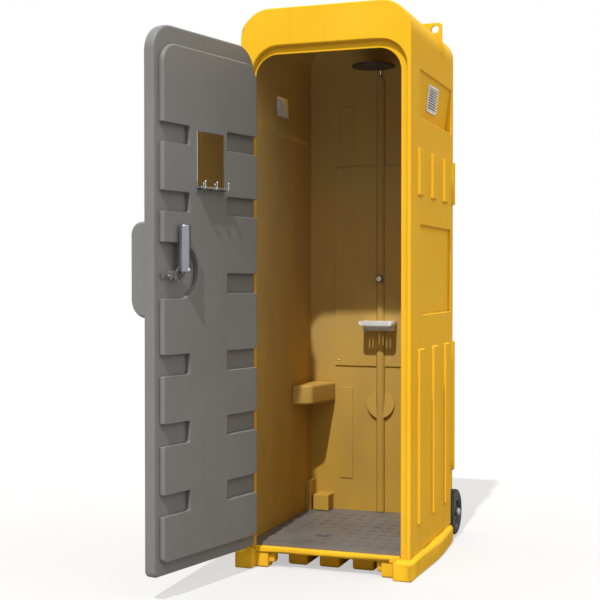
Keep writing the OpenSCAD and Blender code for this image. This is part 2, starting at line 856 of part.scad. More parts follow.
module hinge_screws() {
  color("silver") from_front() for (p = hinge_screw_points()) translate([p[0], -leaf_plate, p[1]])
    screw(4.5, 2, screw_radius, 16);
}

module hinge_door_leaves() {
  color("silver") from_door() for (h = hinge_heights) difference() {
    union() {
      translate([0, 0, h - knuckle_half]) cylinder(r = knuckle_radius, h = 2 * knuckle_half);
      box([0, -3, h - knuckle_half], [door_edge + 3, 3, h + knuckle_half]);
      box([door_edge, -leaf_depth, h - leaf_height], [door_edge + 3, leaf_depth, h + leaf_height]);
    }
    translate([0, 0, h - 60]) cylinder(r = pin_radius + running, h = 120);
  }
}

// Outline of the door, shrunk by inset, given a thickness in Y
module door_outline(x0, x1, z0, z1, r_top, r_low, y0, y1) {
  translate([0, y1, 0]) rotate([90, 0, 0]) linear_extrude(height = y1 - y0) hull() {
    for (x = [x0 + r_top, x1 - r_top]) translate([x, z1 - r_top]) circle(r = r_top);
    for (x = [x0 + r_low, x1 - r_low]) translate([x, z0 + r_low]) circle(r = r_low);
  }
}

function shelf_screw_points() = [for (x = [-0.5, 0.5] * hook_spacing)
  [fittings_x + x, tray_z - tray_flange / 2]];

module door_shell() {
  e = edge_round;
  s = 4;
  color("slategray") from_door() difference() {
    hull() {
      door_outline(door_edge, door_free, door_bottom, door_top, door_radius, 20,
        door_outer + e, door_inner);
      door_outline(door_edge + s, door_free - s, door_bottom + s, door_top - s, door_radius - s, 16,
        door_outer + s, door_inner);
      door_outline(door_edge + e, door_free - e, door_bottom + e, door_top - e, door_radius - e, 7,
        door_outer, door_inner);
    }
    for (h = hinge_heights) box([door_edge - cut, -leaf_depth - 0.2, h - leaf_height - 0.2],
      [door_edge + 3.2, leaf_depth + 0.2, h + leaf_height + 0.2]);
    translate([hub_x, 6, hub_z]) rotate([-90, 0, 0]) cylinder(r = spindle_radius + running, h = 60);
    for (p = shelf_screw_points()) translate([p[0], door_inner - 5, p[1]]) rotate([-90, 0, 0])
      cylinder(r = screw_radius + screw_gap, h = 10);
  }
}

// Points of a quarter circle about c, from angle a in steps of b
function quarter(c, r, a, b) = [for (k = [0:round_steps]) c + r * [cos(a + b * k), sin(a + b * k)]];

// Notch through the raised panel from x0 to x1, with rounded corners
module notch(x0, x1, n) {
  r = notch_round;
  turn = 90 / round_steps;
  translate([0, panel_face + cut, 0]) rotate([90, 0, 0]) linear_extrude(height = panel_rise + 2 * cut)
    polygon(concat(quarter([x1 - r, n[1] - r], r, 0, turn), quarter([x0 + r, n[1] - r], r, 90, turn),
      quarter([x0 + r, n[0] + r], r, 180, turn), quarter([x1 - r, n[0] + r], r, 270, turn)));
}

module door_inner_panel() {
  r = panel_round;
  color("slategray") from_door() difference() {
    hull() {
      door_outline(panel_near, panel_far, panel_low, panel_high, panel_radius, 22,
        door_inner, panel_face - r);
      door_outline(panel_near + r, panel_far - r, panel_low + r, panel_high - r, panel_radius - r, 17,
        door_inner, panel_face);
    }
    for (n = free_notches) notch(free_notch_x, door_free + notch_round, n);
    for (n = hinge_notches) notch(-notch_round, hinge_notch_x, n);
    translate([hub_x, door_inner - cut, hub_z]) rotate([-90, 0, 0])
      cylinder(r = pocket_radius, h = 2 * panel_rise);
    box([hub_x, door_inner - cut, hub_z - pocket_radius],
      [door_free, panel_face + cut, hub_z + pocket_radius]);
    for (p = shelf_screw_points()) translate([p[0], door_inner - cut, p[1]]) rotate([-90, 0, 0])
      cylinder(r = screw_radius + screw_gap, h = 2 * panel_rise);
  }
}

// Side view of the pull, shrunk by inset, from x0 to x1
module pull_slab(x0, x1, inset) {
  low = hub_z - pull_below;
  high = hub_z + pull_above;
  tip = door_outer - pull_reach;
  top = [tip + pull_round_top, high - pull_round_top];
  bottom = [tip + pull_round_low, low + pull_round_low];
  turn = 90 / round_steps;
  translate([x0, 0, 0]) rotate([90, 0, 90]) linear_extrude(height = x1 - x0)
    polygon(concat([[door_outer, high - inset]], quarter(top, pull_round_top - inset, 90, turn),
      quarter(bottom, pull_round_low - inset, 180, turn), [[door_outer, low + inset]]));
}

module door_pull() {
  low = hub_z - pull_below;
  high = hub_z + pull_above;
  far = door_free - 14.8;
  near = far - pull_width;
  color("slategray") from_door() difference() {
    hull() {
      pull_slab(near, far, pull_edge);
      pull_slab(near + pull_edge, far - pull_edge, 0);
    }
    box([near - cut, door_outer - pull_reach + 14, low + 72], [far - pull_wall, door_outer - 6, high - 72]);
  }
}

module mirror_glass() {
  color("lightblue") from_door() box([fittings_x - mirror_half, panel_face, mirror_low],
    [fittings_x + mirror_half, panel_face + mirror_thickness, mirror_high]);
}

module mirror_shelf() {
  x0 = fittings_x - tray_half_width;
  x1 = fittings_x + tray_half_width;
  color("silver") from_door() difference() {
    union() {
      box([x0, panel_face, tray_z - tray_flange], [x1, panel_face + tray_plate, tray_z]);
      box([x0, panel_face, tray_z], [x1, panel_face + tray_reach, tray_z + 2.5]);
      box([x0, panel_face + tray_reach - 2, tray_z], [x1, panel_face + tray_reach, tray_z + 7]);
    }
    for (p = shelf_screw_points()) translate([p[0], panel_face - cut, p[1]]) rotate([-90, 0, 0])
      cylinder(r = screw_radius + screw_gap, h = 10);
  }
}

module coat_hooks() {
  r = hook_radius;
  reach = panel_face + tray_reach + hook_gap;
  low = tray_z - tray_flange / 2;
  high = tray_z + hook_rise;
  color("silver") from_door() for (k = [-1:1]) translate([fittings_x + k * hook_spacing, 0, 0]) {
    translate([0, panel_face + tray_plate, low]) rotate([-90, 0, 0])
      cylinder(r = r, h = reach - panel_face - tray_plate);
    translate([0, reach, low]) sphere(r = r);
    translate([0, reach, low]) cylinder(r = r, h = high - low);
    translate([0, reach, high]) sphere(r = 1.5 * r);
  }
}

module shelf_screws() {
  color("silver") from_door() for (p = shelf_screw_points())
    translate([p[0], panel_face + tray_plate, p[1]]) rotate([0, 0, 180]) screw(4.5, 2, screw_radius, 24);
}

module latch_guides() {
  color("silver") from_door() for (x = guide_starts) difference() {
    box([x, door_inner, bolt_low - 2 * guide_wall],
      [x + guide_width, bolt_front + guide_wall, bolt_high + 5]);
    box([x - cut, bolt_back - slide_gap, bolt_low - slide_gap],
      [x + guide_width + cut, bolt_front + slide_gap, bolt_high + slide_gap]);
  }
}

module latch_bolt() {
  slot_half = crank_pin_radius + 0.5;
  color("silver") from_door() difference() {
    box([bolt_start, bolt_back, bolt_low], [bolt_tip, bolt_front, bolt_high]);
    box([hub_x - crank_offset - slot_half, bolt_back - cut, hub_z - crank_radius - slot_half - 0.3],
      [hub_x - crank_offset + slot_half, bolt_front + cut, bolt_high + cut]);
    translate([stud_x, bolt_back - cut, stud_z]) rotate([-90, 0, 0])
      cylinder(r = stud_shank + running, h = 20);
  }
}

module bolt_stud() {
  color("silver") from_door() {
    translate([stud_x, bolt_back, stud_z]) rotate([-90, 0, 0]) cylinder(r = stud_shank, h = 8);
    translate([stud_x, bolt_front, stud_z]) rotate([-90, 0, 0]) cylinder(r = stud_radius, h = stud_length);
    translate([stud_x, bolt_front + stud_length, stud_z]) sphere(r = stud_radius + 0.5);
  }
}

module latch_lever() {
  hub_back = bolt_front + 7;
  color("silver") from_door() {
    box([hub_x - lever_half, lever_back, hub_z - 5], [hub_x + lever_half, lever_front, lever_top]);
    translate([hub_x, hub_back, hub_z]) rotate([-90, 0, 0])
      cylinder(r = lever_half, h = lever_front - hub_back);
  }
}

module latch_spindle() {
  color("silver") from_door() {
    translate([hub_x, 8, hub_z]) rotate([-90, 0, 0]) cylinder(r = spindle_radius, h = bolt_front - 1);
    translate([hub_x, bolt_front + cut, hub_z]) rotate([-90, 0, 0]) cylinder(r = crank_disc, h = 4);
    translate([hub_x - crank_offset, bolt_back + 0.5, hub_z - crank_drop]) rotate([-90, 0, 0])
      cylinder(r = crank_pin_radius, h = bolt_front - bolt_back + 2);
  }
}

// Bracket that carries the axle on the rear wall
module axle_bracket(x) {
  x0 = x - bracket_width / 2;
  x1 = x + bracket_width / 2;
  from_front() difference() {
    union() {
      box([x0, body_depth, axle_z - 24], [x1, body_depth + bracket_plate, bracket_bolt_z + 15]);
      box([x0, body_depth, axle_z - bracket_arm], [x1, axle_y, axle_z + bracket_arm]);
      translate([x0, axle_y, axle_z]) rotate([0, 90, 0]) cylinder(r = bracket_arm, h = bracket_width);
    }
    translate([x - bracket_width, axle_y, axle_z]) rotate([0, 90, 0])
      cylinder(r = axle_radius + running, h = 2 * bracket_width);
    translate([x, body_depth - cut, bracket_bolt_z]) rotate([-90, 0, 0])
      cylinder(r = bolt_radius + screw_gap, h = 20);
  }
}

module axle_bracket_left() {
  color("dimgray") axle_bracket(-bracket_x);
}

module axle_bracket_right() {
  color("dimgray") axle_bracket(bracket_x);
}

module bracket_bolts() {
  color("silver") from_front() for (p = bracket_bolt_points())
    translate([p[0], body_depth + bracket_plate, p[1]]) rotate([0, 0, 180])
      screw(bolt_head, bolt_head_height, bolt_radius, bolt_length);
}

module wheel_axle() {
  color("silver") from_front() translate([-axle_end, axle_y, axle_z]) rotate([0, 90, 0])
    cylinder(r = axle_radius, h = 2 * axle_end);
}

// Places its children on the right wheel's axis, +Z pointing outwards
module on_wheel() {
  from_front() translate([wheel_inner, axle_y, axle_z]) rotate([0, 90, 0]) children();
}

module tyre() {
  w = wheel_width;
  r = wheel_radius;
  on_wheel() rotate_extrude() polygon([[rim_radius, 3], [rim_radius + 14, 0], [r - 10, 1], [r - 3, 5],
    [r, 12], [r, w - 12], [r - 3, w - 5], [r - 10, w - 1], [rim_radius + 14, w], [rim_radius, w - 3]]);
}

module rim() {
  w = wheel_width;
  r = rim_radius;
  on_wheel() difference() {
    rotate_extrude() polygon([[axle_radius + running, 2], [20, 2], [22, 14], [r - 8, 14], [r - 6, 4],
      [r, 4], [r, w - 4], [r - 6, w - 4], [r - 8, w - 14], [22, w - 12], [20, w - 1],
      [axle_radius + running, w - 1]]);
    for (k = [0:4]) rotate([0, 0, 72 * k]) translate([38, 0, 0]) cylinder(r = 8, h = w);
  }
}

// Push-on cap over the axle end
module hub_cap() {
  on_wheel() difference() {
    rotate_extrude() polygon([[0, wheel_width + 0.5], [17, wheel_width + 0.5], [17, wheel_width + 6],
      [12, wheel_width + 11], [0, wheel_width + 12]]);
    translate([0, 0, wheel_width - cut]) cylinder(r = axle_radius, h = axle_end - wheel_outer + cut);
  }
}

module tyre_right() {
  color("black") tyre();
}

module tyre_left() {
  color("black") mirror([1, 0, 0]) tyre();
}

module rim_right() {
  color("lightgray") rim();
}

module rim_left() {
  color("lightgray") mirror([1, 0, 0]) rim();
}

module hub_cap_right() {
  color("lightgray") hub_cap();
}

module hub_cap_left() {
  color("lightgray") mirror([1, 0, 0]) hub_cap();
}

cabin_shell();
base_pallet();
floor_tray();
drain_grate();
drain_outlet();
service_panel_left();
service_panel_right();
service_screws();
riser_cover();
riser_pipe_lower();
riser_pipe_upper();
water_inlet();
valve_body();
valve_bezel();
push_button();
shower_arm();
shower_head();
nozzle_plate();
soap_dish();
soap_dish_bracket();
corner_shelf();
vent_grille_left();
vent_grille_right();
vent_screws();
hinge_frame_leaves();
hinge_pins();
hinge_screws();
hinge_door_leaves();
door_shell();
door_inner_panel();
door_pull();
mirror_glass();  // mirror
mirror_shelf();
coat_hooks();
shelf_screws();
latch_guides();
latch_bolt();
bolt_stud();
latch_lever();
latch_spindle();
axle_bracket_left();
axle_bracket_right();
bracket_bolts();
wheel_axle();
tyre_left();
rim_left();
hub_cap_left();
tyre_right();
rim_right();
hub_cap_right();
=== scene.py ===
# %% [markdown]
# # A portable shower cabin
#
# This lesson dresses a moulded shower cabin: one big yellow moulding on a
# yellow base, a grey door that stands open, a satin latch lever, a mirror with
# coat hooks, and a pair of transport wheels at the back. The engineering model
# gives every piece its size and place. Here the pieces get their rounded
# moulded edges, their small details and their surfaces.

# %% Load the engineering model
import json
from math import asin, atan2, cos, degrees, hypot, pi, radians, sin

import bmesh
import bpy
import numpy as np
from mathutils import Matrix, Vector

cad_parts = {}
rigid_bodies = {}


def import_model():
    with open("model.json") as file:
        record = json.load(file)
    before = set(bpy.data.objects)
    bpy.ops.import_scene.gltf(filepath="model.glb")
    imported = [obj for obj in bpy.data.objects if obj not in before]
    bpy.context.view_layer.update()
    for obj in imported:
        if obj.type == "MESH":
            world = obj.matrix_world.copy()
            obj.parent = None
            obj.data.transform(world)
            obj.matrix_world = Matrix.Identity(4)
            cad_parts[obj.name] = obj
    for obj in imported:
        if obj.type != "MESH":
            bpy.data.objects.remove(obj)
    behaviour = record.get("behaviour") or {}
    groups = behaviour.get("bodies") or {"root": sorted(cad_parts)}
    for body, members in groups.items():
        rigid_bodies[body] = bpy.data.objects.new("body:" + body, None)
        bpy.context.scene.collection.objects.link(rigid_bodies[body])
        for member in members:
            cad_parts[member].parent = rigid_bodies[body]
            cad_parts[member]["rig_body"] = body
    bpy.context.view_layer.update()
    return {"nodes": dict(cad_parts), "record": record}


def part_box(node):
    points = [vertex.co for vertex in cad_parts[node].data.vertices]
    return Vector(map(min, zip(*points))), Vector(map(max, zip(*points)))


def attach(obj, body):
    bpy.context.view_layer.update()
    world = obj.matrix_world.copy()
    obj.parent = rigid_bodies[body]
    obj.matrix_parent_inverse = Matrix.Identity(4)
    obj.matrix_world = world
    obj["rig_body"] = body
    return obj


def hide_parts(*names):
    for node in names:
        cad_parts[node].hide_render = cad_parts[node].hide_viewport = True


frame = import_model()
nodes = frame["nodes"]

# %% [markdown]
# ## Camera
#
# The photograph was taken from the front right at chest height with a short
# telephoto lens, which keeps the upright edges parallel. A camera can be placed
# by eye, but here its place was solved from forty edges of the cabin, so the
# numbers are used as they came out.

# %% Set up the camera
def new_object(name, data):
    """Object with its data, in the scene."""
    made = bpy.data.objects.new(name, data)
    bpy.context.scene.collection.objects.link(made)
    return made


camera = new_object("photo_camera", bpy.data.cameras.new("photo_camera"))
camera.data.lens = 70.53
camera.data.sensor_width = 36
camera.location = (1.4359, -4.7104, 1.1387)
camera.rotation_euler = (pi / 2 - 0.0174, 0, 0.3415)
bpy.context.scene.camera = camera
bpy.context.scene.view_settings.view_transform = "Standard"
print("camera lens", camera.data.lens, "mm")

# %% [markdown]
# ## Node helpers
#
# Every surface below is made of shader nodes, with no pictures. Wiring nodes one
# by one is long to read, so a few small helpers make them and join them. The
# patterns read Object coordinates, which are in metres here because every
# finished piece sits at the origin.

# %% Helpers that make and join shader nodes
def start_material(name):
    """New material with its shader, ready for patterns."""
    material = bpy.data.materials.new(name)
    material.use_nodes = True
    tree = material.node_tree
    tree.nodes.clear()
    output = tree.nodes.new("ShaderNodeOutputMaterial")
    shader = tree.nodes.new("ShaderNodeBsdfPrincipled")
    tree.links.new(shader.outputs[0], output.inputs[0])
    return material, tree, shader


def feed(tree, node, inputs):
    """Gives inputs their number, their colour or another node's output. i0 is the first input."""
    for key, value in inputs.items():
        socket = node.inputs[int(key[1:]) if key[0] == "i" and key[1:].isdigit() else key]
        if isinstance(value, bpy.types.NodeSocket):
            tree.links.new(value, socket)
        else:
            socket.default_value = value


def add_node(tree, kind, settings=None, **inputs):
    """Node of one kind with its settings and inputs."""
    made = tree.nodes.new("ShaderNode" + kind)
    for key, value in (settings or {}).items():
        setattr(made, key, value)
    feed(tree, made, inputs)
    return made


def place_of(tree, **change):
    """Object coordinates, moved, turned or stretched by a Mapping node."""
    coordinates = add_node(tree, "TexCoord").outputs["Object"]
    return add_node(tree, "Mapping", None, Vector=coordinates, **change).outputs[0]


def noise(tree, scale, detail=3, stretch=(1, 1, 1), roughness=0.5):
    return add_node(tree, "TexNoise", None, Vector=place_of(tree, Scale=stretch), Scale=scale,
                    Detail=detail, Roughness=roughness).outputs["Fac"]


def ramp(tree, value, low, high, low_to=0.0, high_to=1.0):
    """A value taken from one range to another and held there."""
    return add_node(tree, "MapRange", {"clamp": True}, i0=value, i1=low, i2=high,
                    i3=low_to, i4=high_to).outputs[0]


def math_node(tree, operation, first, second=0.0):
    return add_node(tree, "Math", {"operation": operation}, i0=first, i1=second).outputs[0]


def product(tree, value, *others):
    """All the values multiplied together."""
    for other in others:
        value = math_node(tree, "MULTIPLY", value, other)
    return value


def mix_colour(tree, share, first, second):
    return add_node(tree, "Mix", {"data_type": "RGBA"}, i0=share, i6=first, i7=second).outputs[2]


def bump(tree, height, strength, distance, **below):
    """Small relief, on top of an earlier one where a Normal is given."""
    return add_node(tree, "Bump", None, Height=height, Strength=strength, Distance=distance,
                    **below).outputs[0]


print("node helpers ready")

# %% [markdown]
# ## Moulded plastic
#
# The shell and the door are rotationally moulded polyethylene. It has a satin
# face with a very fine orange peel, long shallow waves where the wall cooled, and
# a colour that varies a little from batch powder and sun. Outdoors it picks up
# faint rain streaks, dust low down and scuffs along the edges. Painted shade
# darkens its inner corners and narrow gaps, and the walls inside the room take a
# darker, browner colour as painted shade, marked off by a box in Object
# coordinates. One function makes all of these, so the yellow and the grey behave
# alike.

# %% Masks for the room, the edges and the inner corners
SAMPLES = 4  # rays of each mask
INSIDE = ((-0.3215, 0.3215), (-0.374, 0.3755), (0.092, 2.1755))  # the room, in metres


def within(tree, value, low, high):
    """1 between two values, 0 outside them."""
    above = math_node(tree, "GREATER_THAN", value, low)
    return product(tree, above, math_node(tree, "LESS_THAN", value, high))


def along_normal(tree, vector):
    """How far a vector points the way that the surface faces."""
    normal = add_node(tree, "NewGeometry").outputs["Normal"]
    return add_node(tree, "VectorMath", {"operation": "DOT_PRODUCT"}, i0=normal, i1=vector).outputs["Value"]


def facing_in(tree):
    """1 on surfaces that look into the cabin, 0 on its outside."""
    from_middle = place_of(tree, Location=(0, 0, -1.0), Scale=(3.0, 2.56, 0.91))  # 1 at each wall
    return math_node(tree, "LESS_THAN", along_normal(tree, from_middle), 0.7)


def edge_mask(tree, radius):
    """1 along edges, found by comparing the surface with a rounded one."""
    rounded = add_node(tree, "Bevel", {"samples": SAMPLES}, Radius=radius).outputs[0]
    return ramp(tree, along_normal(tree, rounded), 0.90, 0.995, 1, 0)


def corner_shade_mask(tree, reach):
    """Painted shade for inner corners and narrow gaps: 1 there, 0 on open surfaces."""
    open_sky = add_node(tree, "AmbientOcclusion", {"samples": SAMPLES, "only_local": True}, Distance=reach)
    return ramp(tree, open_sky.outputs["AO"], 0.50, 0.92, 1, 0)


print("masks ready, the room is", [round(high - low, 3) for low, high in INSIDE], "m")


# %% Moulded plastic for the yellow shell and the grey door
def moulded_plastic(name, colour, faded, grime_and_shade, inside_shade_low, inside_shade_high,
                    roughness=0.5, dirt_height=0.30, dirt=0.35, sheen=1.08):
    """Walls facing into the room get painted shade, one colour low down and another higher up. Sheen is the
    refractive index.
    """
    material, tree, shader = start_material(name)
    patches = ramp(tree, noise(tree, 2.3, 4), 0.35, 0.7)
    base = mix_colour(tree, product(tree, patches, 0.45), colour, faded)
    streaks = ramp(tree, noise(tree, 16, 3, (1, 1, 0.05)), 0.56, 0.78, 0, 0.10)
    base = mix_colour(tree, streaks, base, grime_and_shade)
    speckle = ramp(tree, noise(tree, 240, 2), 0.62, 0.8, 0, 0.12)
    base = mix_colour(tree, speckle, base, grime_and_shade)
    place = add_node(tree, "SeparateXYZ", None, Vector=place_of(tree)).outputs
    low = ramp(tree, place[2], 0.0, dirt_height, 1, 0)
    splash = ramp(tree, noise(tree, 22, 5, (1, 1, 0.6), 0.65), 0.35, 0.75)
    base = mix_colour(tree, product(tree, low, splash, dirt), base, grime_and_shade)
    # Painted shade: walls that face into the room take a darker, browner colour, darkest low down and paler
    # higher up.
    inside = product(tree, facing_in(tree), *[within(tree, place[k], *INSIDE[k]) for k in range(3)])
    inside_shade_share = ramp(tree, noise(tree, 5, 4, (1, 1, 0.5)), 0.3, 0.7, 0.66, 0.86)
    dull = mix_colour(tree, ramp(tree, place[2], 0.3, 1.5), inside_shade_low, inside_shade_high)
    base = mix_colour(tree, product(tree, inside, inside_shade_share), base, dull)
    scuffed = ramp(tree, noise(tree, 30, 4), 0.35, 0.65, 0, 0.4)
    base = mix_colour(tree, product(tree, edge_mask(tree, 0.004), scuffed), base, faded)
    # Painted shade: inner corners and narrow gaps are darkened, as if shade fell there.
    base = mix_colour(tree, product(tree, corner_shade_mask(tree, 0.014), 0.6), base, grime_and_shade)
    gloss = ramp(tree, noise(tree, 9, 4), 0.3, 0.7, roughness - 0.05, roughness + 0.07)
    scuffs = ramp(tree, noise(tree, 70, 3, (1, 1, 0.25)), 0.6, 0.75, 0, 0.12)
    waves = bump(tree, noise(tree, 5.5, 2), 0.25, 0.004)
    peel = bump(tree, noise(tree, 420, 2), 0.16, 0.0006, Normal=waves)
    feed(tree, shader, {"Base Color": base, "Roughness": math_node(tree, "ADD", gloss, scuffs),
                        "Normal": peel, "IOR": sheen})
    return material


# The last two colours of each are the painted shade of the room's walls, low and high.
yellow = moulded_plastic("yellow_shell", (0.90, 0.485, 0.018, 1), (0.96, 0.57, 0.04, 1),
                         (0.42, 0.24, 0.05, 1), (0.365, 0.225, 0.060, 1), (0.49, 0.365, 0.170, 1))
grey = moulded_plastic("grey_shell", (0.188, 0.186, 0.174, 1), (0.24, 0.242, 0.242, 1),
                       (0.10, 0.09, 0.08, 1), (0.20, 0.20, 0.19, 1), (0.20, 0.20, 0.19, 1),
                       roughness=0.40, dirt_height=0.45, dirt=0.25, sheen=1.42)
print("made", yellow.name, "and", grey.name)

# %% [markdown]
# ## Floor tray
#
# The tray is the same grey plastic with a wet, worn tread. Fine diagonal lines
# are pressed into it for grip. Their pattern is a wave texture turned by 45
# degrees, cut in two directions so that it reads as small diamonds.

# %% Non-slip plastic for the floor tray
def tread_plastic(name):
    material, tree, shader = start_material(name)
    stains = ramp(tree, noise(tree, 6, 5), 0.35, 0.7)
    base = mix_colour(tree, stains, (0.135, 0.128, 0.118, 1), (0.175, 0.168, 0.158, 1))
    scale_marks = ramp(tree, noise(tree, 55, 4), 0.58, 0.7, 0, 0.2)
    base = mix_colour(tree, scale_marks, base, (0.26, 0.255, 0.245, 1))
    lines = []
    for turn in (pi / 4, -pi / 4):
        wave = add_node(tree, "TexWave", {"wave_type": "BANDS", "bands_direction": "X"},
                        Vector=place_of(tree, Rotation=(0, 0, turn)), Scale=28)
        lines.append(wave.outputs["Fac"])
    hatch = math_node(tree, "MAXIMUM", *lines)
    feed(tree, shader, {"Base Color": base, "Roughness": ramp(tree, stains, 0, 1, 0.38, 0.55),
                        "Normal": bump(tree, hatch, 0.16, 0.0008)})
    return material


tread = tread_plastic("tread_plastic")
print("made", tread.name)

# %% [markdown]
# ## Metals, glass and small plastics
#
# The shower arm and the hooks are chromed, the lever is satin zinc, and the hinges
# and screws are zinc-plated steel. Bright metal shows its surface through its
# reflections, so its detail is in the roughness: smudges, fine brushing and
# water spots.

# %% Metals
def metal(name, colour, dull, roughness, smudge, brushed=(1, 1, 1), grain=0.0):
    material, tree, shader = start_material(name)
    tarnish = ramp(tree, noise(tree, 35, 4), 0.4, 0.75, 0, 0.5)
    smear = ramp(tree, noise(tree, 60, 4), 0.35, 0.7, roughness, roughness + smudge)
    spots = ramp(tree, noise(tree, 300, 2), 0.62, 0.72, 0, smudge)
    feed(tree, shader, {"Base Color": mix_colour(tree, tarnish, colour, dull), "Metallic": 1.0,
                        "Roughness": math_node(tree, "ADD", smear, spots),
                        "Normal": bump(tree, noise(tree, 500, 2, brushed), grain, 0.0003)})
    return material


chrome = metal("chrome", (0.80, 0.81, 0.83, 1), (0.66, 0.67, 0.70, 1), 0.10, 0.10, (1, 1, 1), 0.02)
steel = metal("steel", (0.58, 0.58, 0.57, 1), (0.44, 0.43, 0.41, 1), 0.30, 0.16, (1, 1, 0.04), 0.2)
satin = metal("satin_zinc", (0.34, 0.34, 0.39, 1), (0.27, 0.27, 0.31, 1), 0.30, 0.10, (1, 1, 0.1), 0.05)
copper = metal("copper_pipe", (0.72, 0.40, 0.24, 1), (0.45, 0.24, 0.15, 1), 0.25, 0.2, (1, 1, 0.1), 0.1)
mirror_face = metal("mirror_glass", (0.84, 0.86, 0.87, 1), (0.80, 0.83, 0.84, 1), 0.02, 0.03)
print("made", chrome.name, steel.name, satin.name, copper.name, mirror_face.name)


# %% Small plastics and rubber
def small_plastic(name, colour, second, roughness, grain, depth=0.0004, sheen=1.5):
    material, tree, shader = start_material(name)
    share = ramp(tree, noise(tree, 18, 4), 0.35, 0.7, 0, 0.6)
    base = mix_colour(tree, share, colour, second)
    dust = ramp(tree, noise(tree, 130, 3), 0.55, 0.75, 0, 0.25)
    gloss = ramp(tree, noise(tree, 40, 3), 0.3, 0.7, roughness, roughness + 0.12)
    feed(tree, shader, {"Base Color": mix_colour(tree, dust, base, second), "Roughness": gloss,
                        "Normal": bump(tree, noise(tree, grain, 3), 0.2, depth), "IOR": sheen})
    return material


white = small_plastic("white_plastic", (0.78, 0.78, 0.76, 1), (0.66, 0.65, 0.61, 1), 0.22, 500)
glazed = small_plastic("button_white", (0.88, 0.88, 0.86, 1), (0.80, 0.80, 0.77, 1), 0.10, 300, 0.0001, 2.0)
black = small_plastic("black_plastic", (0.018, 0.018, 0.019, 1), (0.05, 0.05, 0.048, 1), 0.25, 500)
dark = small_plastic("dark_plastic", (0.055, 0.055, 0.06, 1), (0.10, 0.10, 0.10, 1), 0.32, 400)
light = small_plastic("light_plastic", (0.36, 0.37, 0.38, 1), (0.28, 0.27, 0.25, 1), 0.38, 300)
rubber = small_plastic("tyre_rubber", (0.020, 0.020, 0.021, 1), (0.085, 0.078, 0.068, 1), 0.62, 220, 0.0012)
painted = small_plastic("painted_steel", (0.165, 0.163, 0.155, 1), (0.12, 0.118, 0.112, 1), 0.45, 300)
print("made", white.name, glazed.name, black.name, dark.name, light.name, rubber.name, painted.name)

# %% [markdown]
# ## A finish for every node
#
# Some engineering nodes keep their own shape and only need a surface. One table
# gives the finish of each material slot, and a second one the nodes that take
# another. The ones that get a more detailed piece further down are painted too,
# so no node is ever left plain.

# %% Give every engineering node its finish
FINISH = {
    "yellow_shell": yellow, "grey_shell": grey, "white_plastic": white, "steel": steel,
    "chrome": chrome, "copper_pipe": copper, "black_plastic": black, "dark_plastic": dark,
    "mirror_glass": mirror_face, "tyre_rubber": rubber, "light_plastic": light,
}
slot_of = {row["node"]: row["material_slot"] for row in frame["record"]["subparts"]}
SPECIAL = {"floor_tray": tread, "latch_lever": satin, "bolt_stud": satin, "latch_bolt": painted,
           "latch_guides": painted, "latch_spindle": painted, "nozzle_plate": dark, "drain_grate": painted}


def finish_of(node):
    return SPECIAL.get(node) or FINISH[slot_of[node]]


def paint(piece, material):
    piece.data.materials.clear()
    piece.data.materials.append(material)


for node, piece in nodes.items():
    paint(piece, finish_of(node))
print("painted", len(nodes), "nodes with", len({finish_of(node).name for node in nodes}), "finishes")

# %% [markdown]
# ## Rounded mouldings
#
# A moulded part has no sharp edge anywhere: the plastic can't fill one. The
# engineering solids have sharp edges, so a copy of each is welded, its flat
# triangles are joined into whole faces, and its edges are given a bevel weight.
# A live Bevel modifier then rounds each edge by its own weight, and a Weighted
# Normal modifier keeps the large walls looking flat. Small holes stay crisp.

# %% Find flat regions and groups of edges
def coplanar_regions(bm):
    """Numbers each group of faces that lie in one plane, in a face layer."""
    layer = bm.faces.layers.int.get("region") or bm.faces.layers.int.new("region")
    for face in bm.faces:
        face[layer] = 0
    number, limit = 0, radians(0.6)
    for seed in bm.faces:
        if seed[layer]:
            continue
        number += 1
        seed[layer], todo = number, [seed]
        while todo:
            for edge in todo.pop().edges:
                for other in edge.link_faces:
                    if not other[layer] and other.normal.angle(seed.normal, 1) < limit:
                        other[layer] = number
                        todo.append(other)
    return layer


def connected(items, neighbours):
    """Items in the groups that hang together, in the same order on every run."""
    left, groups = set(items), []
    for seed in items:
        if seed not in left:
            continue
        left.remove(seed)
        group = [seed]
        for item in group:  # it grows while it is walked
            for near in neighbours(item):
                if near in left:
                    left.remove(near)
                    group.append(near)
        groups.append(group)
    return groups


def edge_groups(edges):
    return connected(edges, lambda edge: [other for vert in edge.verts for other in vert.link_edges])


print("region helpers ready")


# %% Cut flat regions through their holes
def cutting_lines(faces, groups):
    """Lines in a flat region that pass through each of its holes."""
    normal = faces[0].normal
    up = Vector((0, 0, 1)) if abs(normal.z) < 0.9 else Vector((1, 0, 0))
    u = (up - normal * up.dot(normal)).normalized()
    axes = (u, normal.cross(u))
    spread = [np.array([[v.co.dot(axis) for axis in axes] for e in g for v in e.verts]) for g in groups]
    every = np.concatenate(spread)
    order = sorted(range(len(groups)), key=lambda k: -np.ptp(spread[k], axis=0).sum())
    lines = []
    for k in order[1:]:
        low, high = spread[k].min(0), spread[k].max(0)
        inset = 0.15 * (high - low)
        if any(low[a] + inset[a] < p < high[a] - inset[a] for a, p in lines):
            continue
        tries = [(a, (low[a] + high[a]) / 2 + s * (high[a] - low[a])) for a in (0, 1)
                 for s in np.linspace(-0.32, 0.32, 17)]
        lines.append(max(tries, key=lambda one: np.abs(every[:, one[0]] - one[1]).min()))
    return [(axes[a] * p, axes[a]) for a, p in lines]


def cut_and_mark(bm, parts, point, across):
    """Cuts parts of a mesh with a plane and marks the cut as a seam."""
    cut = bmesh.ops.bisect_plane(bm, geom=parts, dist=1e-6, plane_co=point, plane_no=across)
    for part in cut["geom_cut"]:
        if isinstance(part, bmesh.types.BMEdge):
            part.seam = True


